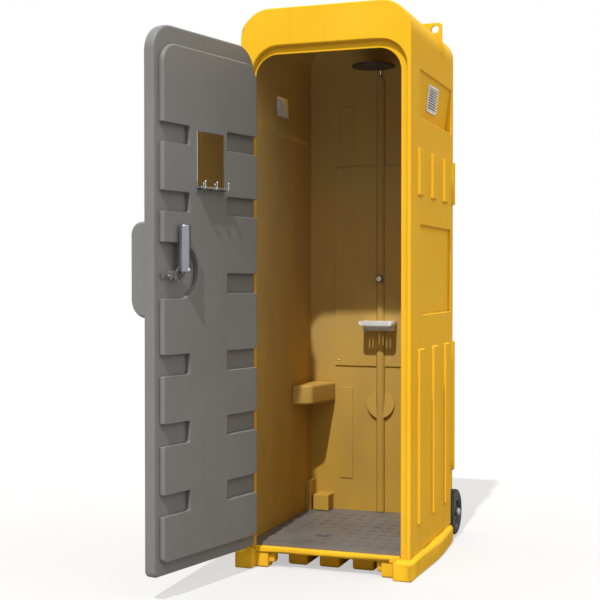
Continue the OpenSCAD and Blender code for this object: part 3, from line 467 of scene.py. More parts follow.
def cut_through_holes(bm):
    """Cuts each flat region through its holes, so that no face has to bridge one."""
    layer = coplanar_regions(bm)
    regions = {}
    for face in bm.faces:
        regions.setdefault(face[layer], []).append(face)
    plans = []
    for number, faces in regions.items():
        inside = set(faces)
        border = [e for f in faces for e in f.edges if sum(g in inside for g in e.link_faces) == 1]
        groups = edge_groups(border)
        if len(groups) > 1:
            plans += [(number, point, across) for point, across in cutting_lines(faces, groups)]
    for number, point, across in plans:
        faces = [f for f in bm.faces if f[layer] == number]
        parts = [part for f in faces for part in (f, *f.edges, *f.verts)]
        cut_and_mark(bm, list(dict.fromkeys(parts)), point, across)


def cut_across(bm, spacing):
    """Cuts a large moulding into bands, so that no face grows long and narrow."""
    normals = [Vector((0, 0, 1)), Vector((1, 0, 0)), Vector((0, 1, 0))]
    for axis, across in zip((2, 0, 1), normals):
        places = np.array([v.co[axis] for v in bm.verts])
        for middle in np.arange(places.min() + spacing, places.max() - 0.4 * spacing, spacing):
            tries = np.linspace(middle - 0.3 * spacing, middle + 0.3 * spacing, 61)
            level = max(tries, key=lambda one: np.abs(places - one).min())
            cut_and_mark(bm, bm.verts[:] + bm.edges[:] + bm.faces[:], across * float(level), across)


print("cutting helpers ready")


# %% Weld a node and join its faces
def welded_copy(node, spacing=0.0):
    """bmesh of an engineering node, its flat triangles joined into whole faces."""
    bm = bmesh.new()
    bm.from_mesh(nodes[node].data)
    bmesh.ops.remove_doubles(bm, verts=bm.verts, dist=1e-5)
    cut_through_holes(bm)
    if spacing:
        cut_across(bm, spacing)
    bmesh.ops.dissolve_limit(bm, angle_limit=radians(0.5), use_dissolve_boundaries=False,
                             verts=bm.verts, edges=bm.edges, delimit={"NORMAL", "SEAM"})
    return bm


print("welding helper ready")

# %% [markdown]
# The weight of an edge is its radius as a share of the modifier's width. Where
# two edges lie close together, as along a thin lip, the radius is held back so
# that the roundings never run into each other.

# %% Measure the room beside each edge
GAP_SHARE, END_SHARE = 0.42, 0.45  # of a gap or a crossing edge, for one rounding


def room_beside(bm, edges):
    """How wide each sharp edge can be rounded before it meets another one."""
    layer = coplanar_regions(bm)
    borders = {}
    for edge in bm.edges:
        numbers = {face[layer] for face in edge.link_faces}
        if len(numbers) == 2:
            for number in numbers:
                borders.setdefault(number, []).append(edge)
    steps = np.linspace(0, 1, 7)[None, :, None]
    ends = {n: np.array([[e.verts[0].co[:], e.verts[1].co[:]] for e in g]) for n, g in borders.items()}
    samples = {n: e[:, :1] * (1 - steps) + e[:, 1:] * steps for n, e in ends.items()}
    room = {}
    for edge in edges:
        start, end = (np.array(vert.co) for vert in edge.verts)
        length = np.linalg.norm(end - start)
        along = (end - start) / max(length, 1e-9)
        widest = 1.0
        for face in edge.link_faces:
            group, away = borders[face[layer]], samples[face[layer]] - start
            travel = away @ along
            gap = np.linalg.norm(away - travel[..., None] * along, axis=-1)
            touching = np.array([bool(set(other.verts) & set(edge.verts)) for other in group])
            beside = (travel > 0.02 * length) & (travel < 0.98 * length) & ~touching[:, None]
            if beside.any():
                widest = min(widest, GAP_SHARE * float(gap[beside].min()))
            for k in np.nonzero(touching)[0]:
                line = np.array(group[k].verts[1].co - group[k].verts[0].co)
                size = max(np.linalg.norm(line), 1e-9)
                if group[k] is not edge and np.linalg.norm(np.cross(line / size, along)) > 0.5:
                    widest = min(widest, END_SHARE * size)
        room[edge] = widest
    return room


print("a rounding fills", GAP_SHARE, "of a gap at most")


# %% Give each edge its weight
def group_size(group):
    points = [vert.co for edge in group for vert in edge.verts]
    return Vector([max(p[k] for p in points) - min(p[k] for p in points) for k in range(3)]).length


def weigh_edges(bm, rule, width, angle=32, smallest=0.05):
    """Gives each sharp edge a bevel weight: rule(edge) is its radius in metres."""
    layer = bm.edges.layers.float.new("bevel_weight_edge")
    sharp = [e for e in bm.edges if e.is_manifold and e.calc_face_angle(0) > radians(angle)]
    sharp = [e for group in edge_groups(sharp) if group_size(group) >= smallest for e in group]
    room = room_beside(bm, sharp)
    for edge in sharp:
        edge[layer] = min(1.0, rule(edge) / width, room[edge] / width)
    return len(sharp)


print("weighing helpers ready")


# %% Make a piece and soften it
def mesh_of(name, bm):
    """Mesh from a bmesh, which isn't needed after this."""
    mesh = bpy.data.meshes.new(name)
    bm.to_mesh(mesh)
    bm.free()
    return mesh


def make_piece(name, bm, material, body, node=None, smooth=True):
    """Object from a bmesh, riding on a body and standing for a node."""
    mesh = mesh_of(name, bm)
    for face in mesh.polygons:
        face.use_smooth = smooth
    mesh.materials.append(material)
    piece = new_object(name, mesh)
    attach(piece, body)
    if node:
        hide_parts(node)
    return piece


def soften(piece, width, segments=3):
    """Live bevel by weight, then normals weighted by face area."""
    bevel = piece.modifiers.new("rounded_edges", "BEVEL")
    bevel.width = width
    bevel.segments = segments
    bevel.limit_method = "WEIGHT"
    bevel.use_clamp_overlap = False
    bevel.miter_outer = "MITER_ARC"
    piece.modifiers.new("flat_walls", "WEIGHTED_NORMAL").keep_sharp = True
    return piece


body_of_node = {node: piece["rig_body"] for node, piece in nodes.items()}
print("pieces can ride on", sorted(set(body_of_node.values())))

# %% [markdown]
# In tight corners some roundings still meet. The finished mesh is searched for
# faces that fold over themselves, and the radius of the edges near them is halved
# until they lie flat.

# %% Find folds and calm them
def crossings(flat):
    """Points where a flat outline crosses itself."""
    start, end = flat, np.roll(flat, -1, axis=0)
    way = end - start
    turn = way[:, None, 0] * way[None, :, 1] - way[:, None, 1] * way[None, :, 0]
    away = start[None] - start[:, None]
    turn = np.where(np.abs(turn) < 1e-14, np.nan, turn)
    t = (away[..., 0] * way[None, :, 1] - away[..., 1] * way[None, :, 0]) / turn
    s = (away[..., 0] * way[:, None, 1] - away[..., 1] * way[:, None, 0]) / turn
    rows, columns = np.nonzero((t > 1e-6) & (t < 1 - 1e-6) & (s > 1e-6) & (s < 1 - 1e-6))
    return [start[r] + t[r, c] * way[r] for r, c in zip(rows, columns) if r < c]


def folded_places(piece):
    """Where faces of the finished mesh fold over themselves."""
    mesh = piece.evaluated_get(bpy.context.evaluated_depsgraph_get()).to_mesh()
    mesh.calc_loop_triangles()
    folded = {}
    for triangle in mesh.loop_triangles:
        normal = mesh.polygons[triangle.polygon_index].normal
        if triangle.area > 2e-7 and triangle.normal.dot(normal) < 0.5:
            folded.setdefault(triangle.polygon_index, []).append(triangle)
    places = []
    for index, triangles in folded.items():
        face = mesh.polygons[index]
        points = [mesh.vertices[i].co for i in face.vertices]
        u = (points[1] - points[0]).normalized()
        v = face.normal.cross(u)
        flat = np.array([[(p - points[0]).dot(u), (p - points[0]).dot(v)] for p in points])
        found = [points[0] + u * float(p[0]) + v * float(p[1]) for p in crossings(flat)]
        places += found or [mesh.vertices[i].co.copy() for t in triangles for i in t.vertices]
    piece.evaluated_get(bpy.context.evaluated_depsgraph_get()).to_mesh_clear()
    return places


def calm_folds(piece, reach, rounds=7):
    """Makes the radius smaller wherever the roundings run into each other."""
    weights = piece.data.attributes["bevel_weight_edge"].data
    ends = np.array([[piece.data.vertices[i].co[:] for i in edge.vertices] for edge in piece.data.edges])
    way = ends[:, 1] - ends[:, 0]
    size = (way ** 2).sum(1)
    for _ in range(rounds):
        places = folded_places(piece)
        if not places:
            break
        close = np.zeros(len(ends), bool)
        for place in np.array(places):
            share = np.clip(((place - ends[:, 0]) * way).sum(1) / np.maximum(size, 1e-12), 0, 1)
            close |= np.linalg.norm(ends[:, 0] + share[:, None] * way - place, axis=1) < reach
        for index in np.nonzero(close)[0]:
            value = weights[index].value * 0.5
            weights[index].value = value if value > 0.04 else 0.0
        piece.data.update()
    return len(places)


print("fold helpers ready")


# %% Round a whole node
def rounded_node(node, name, radius, segments=3, smallest=0.05, angle=32, rule=None, spacing=0.0):
    """Rounded stand-in for a whole node."""
    bm = welded_copy(node, spacing)
    count = weigh_edges(bm, rule or (lambda edge: radius), radius, angle, smallest)
    piece = make_piece(name, bm, finish_of(node), body_of_node[node], node)
    soften(piece, radius, segments)
    left = calm_folds(piece, max(0.006, 1.5 * radius))
    print(name, "rounded", count, "edges to", radius * 1000, "mm at most, folds left", left)
    return piece


print("rounding helper ready")

# %% [markdown]
# ## Cabin shell and base
#
# The shell's outer front edge has the largest radius, the edge where the door
# closes a smaller one, and the ribs and recesses only a few millimetres. The
# rule below tells them apart by where they lie.

# %% Round the shell and the base
HALF_DEPTH, HALF_WIDTH = 0.399, 0.346  # of the body
ARCH_X, ARCH_Z, ARCH_RADIUS = 0.226, 2.08, 0.118  # the outer corners' middle and size
REBATE = 0.022  # depth of the step around the doorway


def shell_radius(edge):
    """A wide roll round the front, a narrow one at the right jamb and elsewhere."""
    rear = max(vert.co.y for vert in edge.verts)
    if rear < -HALF_DEPTH + 0.0005:
        middle = sum((vert.co for vert in edge.verts), Vector()) / 2
        corner = hypot(max(abs(middle.x) - ARCH_X, 0), max(middle.z - ARCH_Z, 0))
        outside = abs(middle.x) > HALF_WIDTH - 0.001 or corner > ARCH_RADIUS
        return 0.0035 if middle.x > 0.30 and not outside else 0.0062
    return 0.002 if rear < -HALF_DEPTH + REBATE else 0.003


rounded_node("cabin_shell", "cabin_moulding", 0.0062, smallest=0.06, rule=shell_radius, spacing=0.22)
rounded_node("base_pallet", "base_moulding", 0.010, 4, spacing=0.2)

# %% [markdown]
# ## Door
#
# The door is a hollow moulding with a very round outer edge. Its inner face has
# a raised panel with notches cut into both sides, and a round pocket around the
# latch. The outer pull is a hollow grip moulded on the free edge.

# %% Round the door's mouldings
DOOR_OPEN = radians(103.3)
hinge_place = Vector((-0.2985, -0.4069, 0))  # on the plane between the door's two halves
door_normal = Vector((sin(DOOR_OPEN), cos(DOOR_OPEN), 0))


def door_radius(edge):
    """A wide roll round the outside face, a smaller one round the inside face."""
    middle = sum((vert.co for vert in edge.verts), Vector()) / 2
    return 0.018 if (middle - hinge_place).dot(door_normal) < 0 else 0.009


rounded_node("door_shell", "door_moulding", 0.018, 5, 0.12, 40, door_radius, 0.2)
rounded_node("door_inner_panel", "door_panel", 0.004, spacing=0.2)
rounded_node("door_pull", "door_grip", 0.009)

# %% [markdown]
# ## Smaller mouldings and fittings
#
# The corner shelf, the soap dish and the brackets take the same treatment with
# smaller radii. Each row of the table gives the node, its piece and the radius,
# then the segments of a rounding and how large a group of edges must be, where
# they aren't the usual ones. The underside of the rail is grey plastic, a painted
# shade that stands in for the shadow under the rail.

# %% Round the smaller pieces
SMALL_PIECES = (
    ("corner_shelf", "shelf_moulding", 0.012), ("soap_dish", "soap_tray", 0.0025, 2),
    ("soap_dish_bracket", "soap_tray_bracket", 0.002, 2),
    ("service_panel_left", "service_cover_left", 0.002, 2),
    ("service_panel_right", "service_cover_right", 0.002, 2),
    ("latch_guides", "bolt_guides", 0.001, 2, 0.01),
    ("axle_bracket_left", "axle_support_left", 0.002, 2, 0.01),
    ("axle_bracket_right", "axle_support_right", 0.002, 2, 0.01),
    ("mirror_shelf", "hook_rail", 0.0008, 2, 0.01),
    ("hinge_frame_leaves", "hinge_plates_frame", 0.0008, 2, 0.02),
    ("hinge_door_leaves", "hinge_plates_door", 0.0008, 2, 0.02),
    ("drain_grate", "floor_grate", 0.0008, 2, 0.01), ("latch_bolt", "bolt_bar", 0.0008, 2, 0.005),
)
for row in SMALL_PIECES:
    rounded_node(*row)
# Painted shade: faces below this height take the grey plastic, which stands in for the shadow beneath the
# rail.
RAIL_SHADE_LINE = 1.4699
rail = bpy.data.objects["hook_rail"].data
rail.materials.append(grey)
for face in rail.polygons:
    face.material_index = 1 if face.center.z < RAIL_SHADE_LINE else 0

# %% [markdown]
# ## Round and bent fittings
#
# Turned parts are made as on a lathe: a profile is spun about an axis. Bent rods
# and other long shapes are skinned over a row of rings, as a boat's hull is over
# its frames. Small helpers do this, and others move, mirror, aim and join shapes.

# %% Turn, skin and bend shapes
def outward(bm):
    """Turns all faces of a shape outwards."""
    bmesh.ops.recalc_face_normals(bm, faces=bm.faces)
    return bm


def spun(profile, steps=40):
    """Turned shape about Z from (radius, height) points."""
    bm = bmesh.new()
    verts = [bm.verts.new((radius, 0, height)) for radius, height in profile]
    edges = [bm.edges.new(pair) for pair in zip(verts, verts[1:])]
    bmesh.ops.spin(bm, geom=verts + edges, cent=(0, 0, 0), axis=(0, 0, 1), dvec=(0, 0, 0),
                   angle=2 * pi, steps=steps, use_merge=True, use_duplicate=False)
    bmesh.ops.remove_doubles(bm, verts=bm.verts, dist=1e-5)
    return outward(bm)


def skinned(rings, closed=False):
    """Skin over rings that have the same number of points, its ends filled."""
    bm = bmesh.new()
    loops = []
    for ring in rings:
        verts = [bm.verts.new(point) for point in ring]
        loops.append([bm.edges.new(pair) for pair in zip(verts, verts[1:] + verts[:1])])
    for one, other in zip(loops, loops[1:] + (loops[:1] if closed else [])):
        bmesh.ops.bridge_loops(bm, edges=one + other)
    if not closed:
        for loop in (loops[0], loops[-1]):
            bmesh.ops.contextual_create(bm, geom=loop)
    return outward(bm)


def rounded_path(corners, radius, steps):
    """Line of points through corners, each corner turned in an arc."""
    corners = [Vector(corner) for corner in corners]
    path = [corners[0]]
    for before, corner, after in zip(corners, corners[1:], corners[2:]):
        start = corner + (before - corner).normalized() * radius
        end = corner + (after - corner).normalized() * radius
        for step in range(steps + 1):
            share = step / steps
            path.append(start.lerp(corner, share).lerp(corner.lerp(end, share), share))
    return path + [corners[-1]]


def mm(*points):
    """Points given in millimetres, in metres."""
    return [tuple(value / 1000 for value in point) for point in points]


def circle(radius, sides):
    """Points of a flat circle."""
    angles = np.linspace(0, 2 * pi, sides, endpoint=False)
    return [(radius * cos(a), radius * sin(a)) for a in angles]


def rod(path, radius, sides, sizes=None):
    """Round rod along a path. Sizes scale its radius point by point."""
    rings, turn = [], None
    for k, point in enumerate(path):
        way = (path[min(k + 1, len(path) - 1)] - path[max(k - 1, 0)]).normalized()
        turn = way.to_track_quat("Z", "Y") if turn is None else last.rotation_difference(way) @ turn
        last, size = way, radius * (sizes[k] if sizes else 1)
        rings.append([point + turn @ Vector((x, y, 0)) for x, y in circle(size, sides)])
    return skinned(rings)


print("shape helpers ready")


# %% Move, mirror, aim and join shapes
def moved(bm, matrix):
    bmesh.ops.transform(bm, matrix=matrix, verts=bm.verts)
    return bm


def mirrored(bm, sign, matrix):
    """Moves a shape, and mirrors it across the cabin's middle plane if sign is -1."""
    return outward(moved(bm, Matrix.Diagonal((sign, 1, 1, 1)) @ matrix))


def aimed(place, direction):
    """Stands a shape at a place with its Z along a direction."""
    return Matrix.Translation(place) @ Vector(direction).to_track_quat("Z", "Y").to_matrix().to_4x4()


def together(parts):
    """Joins several shapes into one."""
    whole = bmesh.new()
    for part in parts:
        mesh = mesh_of("part", part)
        whole.from_mesh(mesh)
        bpy.data.meshes.remove(mesh)
    return whole


def centre_of(node):
    low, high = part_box(node)
    return (Vector(low) + Vector(high)) / 2


hinge_line = centre_of("hinge_pins")
on_door = Matrix.Translation((hinge_line.x, hinge_line.y, 0)) @ Matrix.Rotation(-DOOR_OPEN, 4, "Z")
print("door frame starts at", [round(value, 4) for value in on_door.translation])

# %% [markdown]
# ## Latch lever
#
# The lever is a die casting with a satin zinc finish, flat at the back, fixed to
# its spindle with a domed screw. Its section is a shallow crown between two
# shoulders, and the last few millimetres at each end shrink, which gives the cast
# edge. The door's own axes are used: X runs from the hinges to the free edge and
# Y into the room.

# %% Build the latch lever
hub = Vector((0.4985, 0, 1.170))  # the spindle's axis
LEVER_BACK = 0.064  # the ends shrink towards this plane
neck_foot, cap_foot = 0.048, 0.0825  # how far into the room they start


def lever_section(z, size):
    """Outline of the lever's section at a height."""
    angles = np.linspace(0.12, pi - 0.12, 17)
    crown = [(0.0165 * cos(a), 0.0735 + 0.0110 * sin(a)) for a in angles]
    flank = mm((22.2, 56.2), (22.5, 57.5), (21.6, 69), (20.8, 70.2), (19, 70.6))
    outline = flank + crown + [(-x, y) for x, y in reversed(flank)]
    return [(hub.x + x * size, LEVER_BACK + (y - LEVER_BACK) * size, z) for x, y in outline]


levels = [(1.1650, 0.90), (1.1658, 0.97), (1.1675, 1.0), (1.20, 1.0), (1.26, 1.0), (1.3300, 1.0),
          (1.3320, 0.97), (1.3330, 0.88)]
bar = skinned([lever_section(z, size) for z, size in levels])
neck = moved(spun(mm((0, 0), (13, 0), (13, 9), (11.5, 12.5), (0, 12.5))),
             aimed((hub.x, neck_foot, hub.z + 0.001), (0, 1, 0)))
cap = moved(spun(mm((0, 0), (7.2, 0), (7.2, 2.4), (6.4, 4), (4, 5.2), (0, 5.7)), 28),
            aimed((hub.x, cap_foot, hub.z + 0.003), (0, 1, 0)))
lever = make_piece("latch_handle", moved(together([bar, neck]), on_door), satin, "lever", "latch_lever")
make_piece("latch_cap_screw", moved(cap, on_door), chrome, "lever")
soften(lever, 0.0001)
print("lever", len(lever.data.polygons), "faces")

# %% [markdown]
# ## Coat hooks
#
# Each hook is one chromed wire: it leaves the rail, turns up in a small bend and
# ends in a ball, so that clothes don't snag.

# %% Bend the coat hooks
hook_low, hook_high = 1.4674, 1.492
rail_face, hook_reach = 0.0495, 0.0812  # how far they stand in the room


def hook_wire(x):
    path = rounded_path([(x, rail_face, hook_low), (x, hook_reach, hook_low),
                         (x, hook_reach, hook_high)], 0.009, 8)
    ball = [path[-1] + Vector((0, 0, step)) for step in (0.0004, 0.0012, 0.0026, 0.0042, 0.0056, 0.0064)]
    sizes = [1.0] * len(path) + [1.18, 1.42, 1.52, 1.36, 0.92, 0.35]
    return rod(path + ball, 0.0022, 14, sizes)


door_way = on_door.to_3x3() @ Vector((1, 0, 0))
hook_box = centre_of("coat_hooks")
along = (Vector((hook_box.x, hook_box.y, 0)) - Vector(on_door.translation)).dot(door_way)
hooks = moved(together([hook_wire(along + step) for step in (-0.070, 0, 0.070)]), on_door)
make_piece("hook_wires", hooks, chrome, "door", "coat_hooks")
print("hooks stand", round(along, 4), "m along the door")

# %% [markdown]
# ## Mirror
#
# The mirror is a plate with a ground edge. Its front face is inset and the rim
# pushed back a little, which gives the narrow facet that catches light. The
# sides and the back carry grey backing paint.

# %% Make the mirror plate
def mirror_plate():
    bm = bmesh.new()
    wide, thick, high = 0.160, 0.003, 0.1985
    back, low = 0.0472, 1.4785
    bmesh.ops.create_cube(bm, size=1)
    bmesh.ops.scale(bm, vec=(wide, thick, high), verts=bm.verts)
    bmesh.ops.translate(bm, vec=(along, back + thick / 2, low + high / 2), verts=bm.verts)
    front = [face for face in bm.faces if face.normal.y > 0.9]
    rim = bmesh.ops.inset_region(bm, faces=front, thickness=0.002, depth=0.0)["faces"]
    rim = {vert for face in rim for vert in face.verts} - {vert for face in front for vert in face.verts}
    bmesh.ops.translate(bm, vec=(0, -0.0004, 0), verts=list(rim))
    for face in outward(bm).faces:
        face.material_index = 0 if face.normal.y > 0.5 else 1
    return moved(bm, on_door)


mirror_piece = make_piece("mirror_plate", mirror_plate(), mirror_face, "door", "mirror", smooth=False)
mirror_piece.data.materials.append(painted)
print("mirror", len(mirror_piece.data.polygons), "faces")

# %% [markdown]
# ## Vents
#
# Each vent is a white moulded frame with nine slanting blades, which shed the rain
# outwards while air still passes between them. The frame is skinned over six
# rounded rectangles, one for each edge of its section, and the vent leans with the
# wall that it is screwed to. No two neighbours of those rectangles lie in one
# plane, because the skin would cross over between them.

# %% Build the two vents
def rounded_rectangle(half_wide, half_high, radius, depth):
    points = []
    for turn, (side, up) in enumerate(((1, 1), (-1, 1), (-1, -1), (1, -1))):
        for share in np.linspace(0, 1, 6):
            a = pi / 2 * (turn + share)
            points.append((depth, side * (half_wide - radius) + radius * cos(a),
                           up * (half_high - radius) + radius * sin(a)))
    return points


def vent_blade(height):
    """One blade, thicker along its lower front edge."""
    section = mm((0.2, 2.6), (1.2, 3.1), (5.6, -0.1), (6.4, -0.9), (6.4, -3.8), (5.7, -4.4), (4.4, -2))
    return skinned([[(x, y, height + z) for x, z in section] for y in (-0.0705, 0.0705)])


def vent():
    frame_rings = [rounded_rectangle(*row) for row in mm(
        (80, 54, 6, 0.2), (80, 54, 6, 4.8), (78.8, 52.8, 5, 6),
        (70, 45.5, 4, 5.8), (69, 44.5, 3, 5), (69, 44.5, 3, 0.6))]
    pitch = 0.0099
    blades = [vent_blade(pitch * step) for step in range(-4, 5)]
    return together([skinned(frame_rings, closed=True)] + blades)


vent_low, vent_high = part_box("vent_grille_right")
lean = asin((vent_high[0] - vent_low[0] - 0.006) / (vent_high[2] - vent_low[2]))
vent_middle = centre_of("vent_grille_right")
vent_middle.x -= 0.0031  # from the frame's middle to its back
on_wall = Matrix.Translation(vent_middle) @ Matrix.Rotation(lean, 4, "Y")
for side, sign in (("right", 1), ("left", -1)):
    make_piece("vent_louvre_" + side, mirrored(vent(), sign, on_wall), white, "cabin",
               "vent_grille_" + side, smooth=False)
print("vents lean by", round(degrees(lean), 2), "degrees")

# %% [markdown]
# ## Shower head and arm
#
# The head is a turned plastic bell over its nozzle plate, fed by a chromed tube
# with two smooth bends. A collar covers the joint between them, and a hexagon nut
# holds the tube's other end.

# %% Build the shower head and its arm
head_low, head_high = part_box("shower_head")
head_place = centre_of("shower_head")
head_place.z = head_low[2]
bell = mm((0, 4.1), (86.2, 4.1), (86.3, 3), (86.6, 0.6), (88.5, 0), (92.5, 0.4), (94.6, 2.2), (95, 4.5),
          (94, 6.6), (91.5, 8), (75, 9.4), (50, 10.6), (32, 12.2), (26, 15), (23, 16.4), (0, 16.5))
make_piece("head_bell", moved(spun(bell, 72), Matrix.Translation(head_place)), dark, "cabin", "shower_head")
arm_low, arm_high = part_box("shower_arm")
x, front_y, rear_y = head_place.x, head_place.y, arm_high[1] - 0.0072
bottom, top = arm_low[2], arm_high[2] - 0.009
tube = rod(rounded_path([(x, rear_y, bottom), (x, rear_y, top), (x, front_y, top),
                         (x, front_y, head_high[2] + 0.001)], 0.017, 9), 0.0065, 20)
collar = moved(spun(mm((0, 0), (13, 0), (13.5, 0.8), (13.5, 6), (11, 9), (8, 11), (0, 11))),
               Matrix.Translation((x, front_y, head_high[2] + 0.0002)))
nut = moved(spun(mm((0, 0), (9.5, 0), (9.8, 1), (9.8, 9), (8.5, 10), (0, 10)), 6),
            Matrix.Translation((x, rear_y, bottom + 0.001)))
make_piece("head_arm", together([tube, collar, nut]), chrome, "cabin", "shower_arm")
print("head at", [round(value, 3) for value in head_place])

# %% [markdown]
# ## Push valve
#
# The button is a white mushroom that slides in a black ring. Its cap stays in front
# of the valve's body when it is pressed in. The ring is turned with a rounded lip and
# fits over that body. Both sit on the riser at chest height.

# %% Turn the button and its ring
def on_back_of(node):
    """Stands a turned shape on the rear face of a node's box, towards the front."""
    middle = centre_of(node)
    return aimed((middle.x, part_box(node)[1][1], middle.z), (0, -1, 0))


ring = mm((14.3, 0), (14.3, 7.2), (12.8, 7.6), (12.8, 9.9), (13.3, 10.8), (14.1, 11), (15.3, 10.4),
          (16.1, 9), (16.5, 6.5), (16.5, 0), (14.3, 0))
make_piece("valve_ring", moved(spun(ring), on_back_of("valve_bezel")), black, "cabin", "valve_bezel")
dome = mm((0, 0), (10.4, 0), (10.4, 12.2), (12.2, 12.3), (12.4, 12.7), (12.4, 13.6), (11.6, 14.7),
          (9.8, 15.6), (7, 16.2), (3.6, 16.45), (0, 16.5))
make_piece("valve_button", moved(spun(dome), on_back_of("push_button")), glazed, "button", "push_button")
print("button and ring turned")

# %% [markdown]
# ## Wheels
#
# The tyres are solid rubber with a blocked tread. After the profile is spun, every
# second pair of tread faces is inset and raised. The rim's disc stays as it was
# engineered, and a small turned cap closes the axle's end.

# %% Turn the tyres and the hub caps
TREAD_STEPS = 96


def tyre_shape():
    profile = mm((62, 3.5), (70, 1.2), (80, 0.2), (89, 1.2), (94.5, 4.5), (97.5, 9), (98.5, 15),
                 (98.5, 19), (97, 19.5), (97, 22.5), (98.5, 23), (98.5, 27), (97.5, 33), (94.5, 37.5),
                 (89, 40.8), (80, 41.8), (70, 40.8), (62, 38.5), (62, 3.5))
    bm = spun(profile, TREAD_STEPS)
    blocks = []
    for face in bm.faces:
        x, y, z = face.calc_center_median()
        second = int(degrees(atan2(y, x)) // (360 / TREAD_STEPS)) % 2
        if second and hypot(x, y) > 0.0955 and abs(z - 0.021) > 0.0022:
            blocks.append(face)
    bmesh.ops.inset_region(bm, faces=blocks, thickness=0.0006, depth=0.0013, use_even_offset=True)
    return bm


cap_profile = mm((0, 0), (15, 0), (16.5, 1), (16.8, 4), (15.5, 6.6), (12.8, 8.8), (9, 10.2), (5, 11),
                 (0, 11.4))
for side, way in (("right", 1), ("left", -1)):
    inner, outer = [corner[0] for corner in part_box("tyre_" + side)][::way]
    middle = centre_of("tyre_" + side)
    for name, shape, x, finish, node in (
            ("wheel_tyre_", tyre_shape(), inner, rubber, "tyre_"),
            ("wheel_cap_", spun(cap_profile), outer + way * 0.0005, light, "hub_cap_")):
        make_piece(name + side, moved(shape, aimed((x, middle.y, middle.z), (way, 0, 0))), finish,
                   "wheel_" + side, node + side)
print("wheels turned")

# %% [markdown]
# ## Screws and bolts
#
# Every screw has a domed head with a cross recess. The recess starts as a
# plus-shaped outline inside the head's ring, and the plus is pushed down. The axle
# brackets are held by hexagon heads on washers.

# %% Turn the screw heads
def screw_head(radius, height):
    bm = bmesh.new()
    half, arm = 0.13 * radius, 0.52 * radius
    plus = [(arm, half), (half, half), (half, arm), (-half, arm), (-half, half), (-arm, half),
            (-arm, -half), (-half, -half), (-half, -arm), (half, -arm), (half, -half), (arm, -half)]

    def loop(points, z):
        verts = [bm.verts.new((x, y, z)) for x, y in points]
        return [bm.edges.new(pair) for pair in zip(verts, verts[1:] + verts[:1])]

    loops = [loop(plus, 0.35 * height), loop(plus, height)]
    for size, z in ((0.66, 0.94), (0.88, 0.68), (1, 0.22), (1, 0)):
        loops.append(loop(circle(size * radius, 24), z * height))
    for one, other in zip(loops, loops[1:]):
        bmesh.ops.bridge_loops(bm, edges=one + other)
    bmesh.ops.contextual_create(bm, geom=loops[0])
    bmesh.ops.contextual_create(bm, geom=loops[-1])
    return outward(bm)


def solids_of(node):
    """Points of each separate solid of a node."""
    bm = bmesh.new()
    bm.from_mesh(nodes[node].data)
    bmesh.ops.remove_doubles(bm, verts=bm.verts, dist=1e-5)
    groups = connected(bm.verts, lambda vert: [edge.other_vert(vert) for edge in vert.link_edges])
    points = [np.array([vert.co[:] for vert in group]) for group in groups]
    bm.free()
    return points


def screws(name, node, direction, radius, height):
    """Screw heads on the seats of an engineering node's screws."""
    way = Vector(direction).normalized()
    heads = []
    for turn, points in enumerate(solids_of(node)):
        reach = points @ np.array(way)
        middle = Vector(points[reach > reach.max() - 1e-4].mean(0))
        face = middle - way * height
        spin = Matrix.Rotation(0.7 * turn, 4, "Z")
        heads.append(moved(screw_head(radius, height), aimed(face, way) @ spin))
    make_piece(name, together(heads), finish_of(node), body_of_node[node], node)
    print(name, len(heads), "heads")


into_room = on_door.to_3x3() @ Vector((0, 1, 0))
screws("service_screw_heads", "service_screws", (0, -1, 0), 0.005, 0.0025)
screws("hinge_screw_heads", "hinge_screws", (0, -1, 0), 0.0045, 0.002)
screws("rail_screw_heads", "shelf_screws", into_room, 0.0045, 0.002)
paint(bpy.data.objects["rail_screw_heads"], painted)
print("the rail's heads are", painted.name)


# %% Screw the vents and bolt the axle brackets
def vent_screw_heads():
    """A head in each corner of both frames."""
    out, half_wide, half_high = 0.006, 0.074, 0.048
    heads = []
    for y in (-half_wide, half_wide):
        for z in (-half_high, half_high):
            seat = on_wall @ Matrix.Translation((out, y, z)) @ Matrix.Rotation(pi / 2, 4, "Y")
            heads += [mirrored(screw_head(0.0034, 0.0016), sign, seat) for sign in (1, -1)]
    return together(heads)


make_piece("vent_screw_heads", vent_screw_heads(), steel, "cabin", "vent_screws")


def hexagon_bolt():
    washer = spun(mm((0, 0), (9.5, 0), (9.7, 0.3), (9.7, 1.3), (9.3, 1.6), (0, 1.6)), 32)
    head = spun(mm((0, 1.4), (7, 1.4), (7, 4.6), (5.8, 5.4), (0, 5.5)), 6)
    return together([washer, head])


bolts = []
for points in solids_of("bracket_bolts"):
    seat = Vector((points[:, 0].mean(), points[:, 1].max() - 0.005, points[:, 2].mean()))
    bolts.append(moved(hexagon_bolt(), aimed(seat, (0, 1, 0))))
make_piece("bracket_bolt_heads", together(bolts), steel, "cabin", "bracket_bolts", smooth=False)
print("bolts on the axle brackets", len(bolts))

# %% [markdown]
# ## Floor, sky and sun
#
# The photograph has a white studio with a pale floor. The sky is brighter
# overhead than at the horizon, as under a large soft box, so the inside of the
# cabin stays darker than its front. The floor and the sky are white only to the
# camera and to mirrors. One sun from the upper front gives the ribs, the lever
# and the hooks their shadows, and a very soft lamp from the right fills the side.

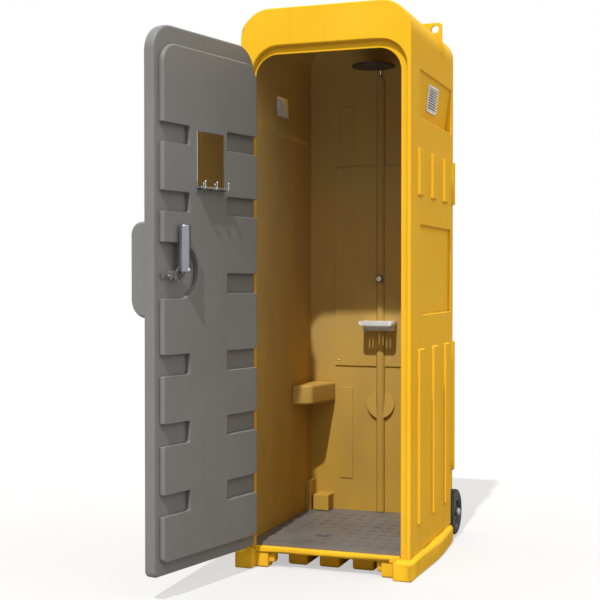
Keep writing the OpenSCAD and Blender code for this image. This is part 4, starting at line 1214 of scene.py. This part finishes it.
# %% Stage and light
def stage_floor():
    bm = bmesh.new()
    bmesh.ops.create_grid(bm, x_segments=8, y_segments=8, size=40)
    mesh = mesh_of("studio_floor", bm)
    material, tree, shader = start_material("studio_floor")
    tone = ramp(tree, noise(tree, 0.6, 3), 0.3, 0.7)
    base = mix_colour(tree, tone, (0.28, 0.28, 0.28, 1), (0.30, 0.30, 0.30, 1))
    seen = product(tree, add_node(tree, "LightPath").outputs["Is Camera Ray"], 0.50)
    feed(tree, shader, {"Base Color": base, "Roughness": 0.9, "Specular IOR Level": 0.1,
                        "Emission Color": (1, 1, 1, 1), "Emission Strength": seen})
    mesh.materials.append(material)
    new_object("studio_floor", mesh)


def studio_sky(horizon, overhead):
    world = bpy.data.worlds.new("studio")
    bpy.context.scene.world = world
    world.use_nodes = True
    sky = world.node_tree
    sky.nodes.clear()
    output = sky.nodes.new("ShaderNodeOutputWorld")
    path = add_node(sky, "LightPath")
    seen = path.outputs["Is Camera Ray"]
    for ray in ("Is Glossy Ray", "Is Transmission Ray"):
        seen = math_node(sky, "MAXIMUM", seen, path.outputs[ray])
    direction = add_node(sky, "TexCoord").outputs["Generated"]
    height = add_node(sky, "SeparateXYZ", None, Vector=direction).outputs[2]
    strength = ramp(sky, height, 0.05, 0.6, horizon, overhead)
    soft = add_node(sky, "Background", None, Color=(1, 0.985, 0.97, 1), Strength=strength)
    plain = add_node(sky, "Background", None, Color=(1, 1, 1, 1), Strength=1.0)
    blend = add_node(sky, "MixShader", None, i0=seen, i1=soft.outputs[0], i2=plain.outputs[0])
    sky.links.new(blend.outputs[0], output.inputs[0])


def lamp(name, travel, strength, spread):
    light = new_object(name, bpy.data.lights.new(name, "SUN"))
    light.data.energy = strength
    light.data.angle = radians(spread)
    light.rotation_euler = Vector(travel).to_track_quat("-Z", "Y").to_euler()
    print(name, "strength", strength)


stage_floor()
studio_sky(0.05, 1.06)
lamp("soft_sun", (-0.025, 0.585, -0.81), 2.98, 1.2)
lamp("side_fill", (-0.75, 0.25, -0.60), 0.30, 60)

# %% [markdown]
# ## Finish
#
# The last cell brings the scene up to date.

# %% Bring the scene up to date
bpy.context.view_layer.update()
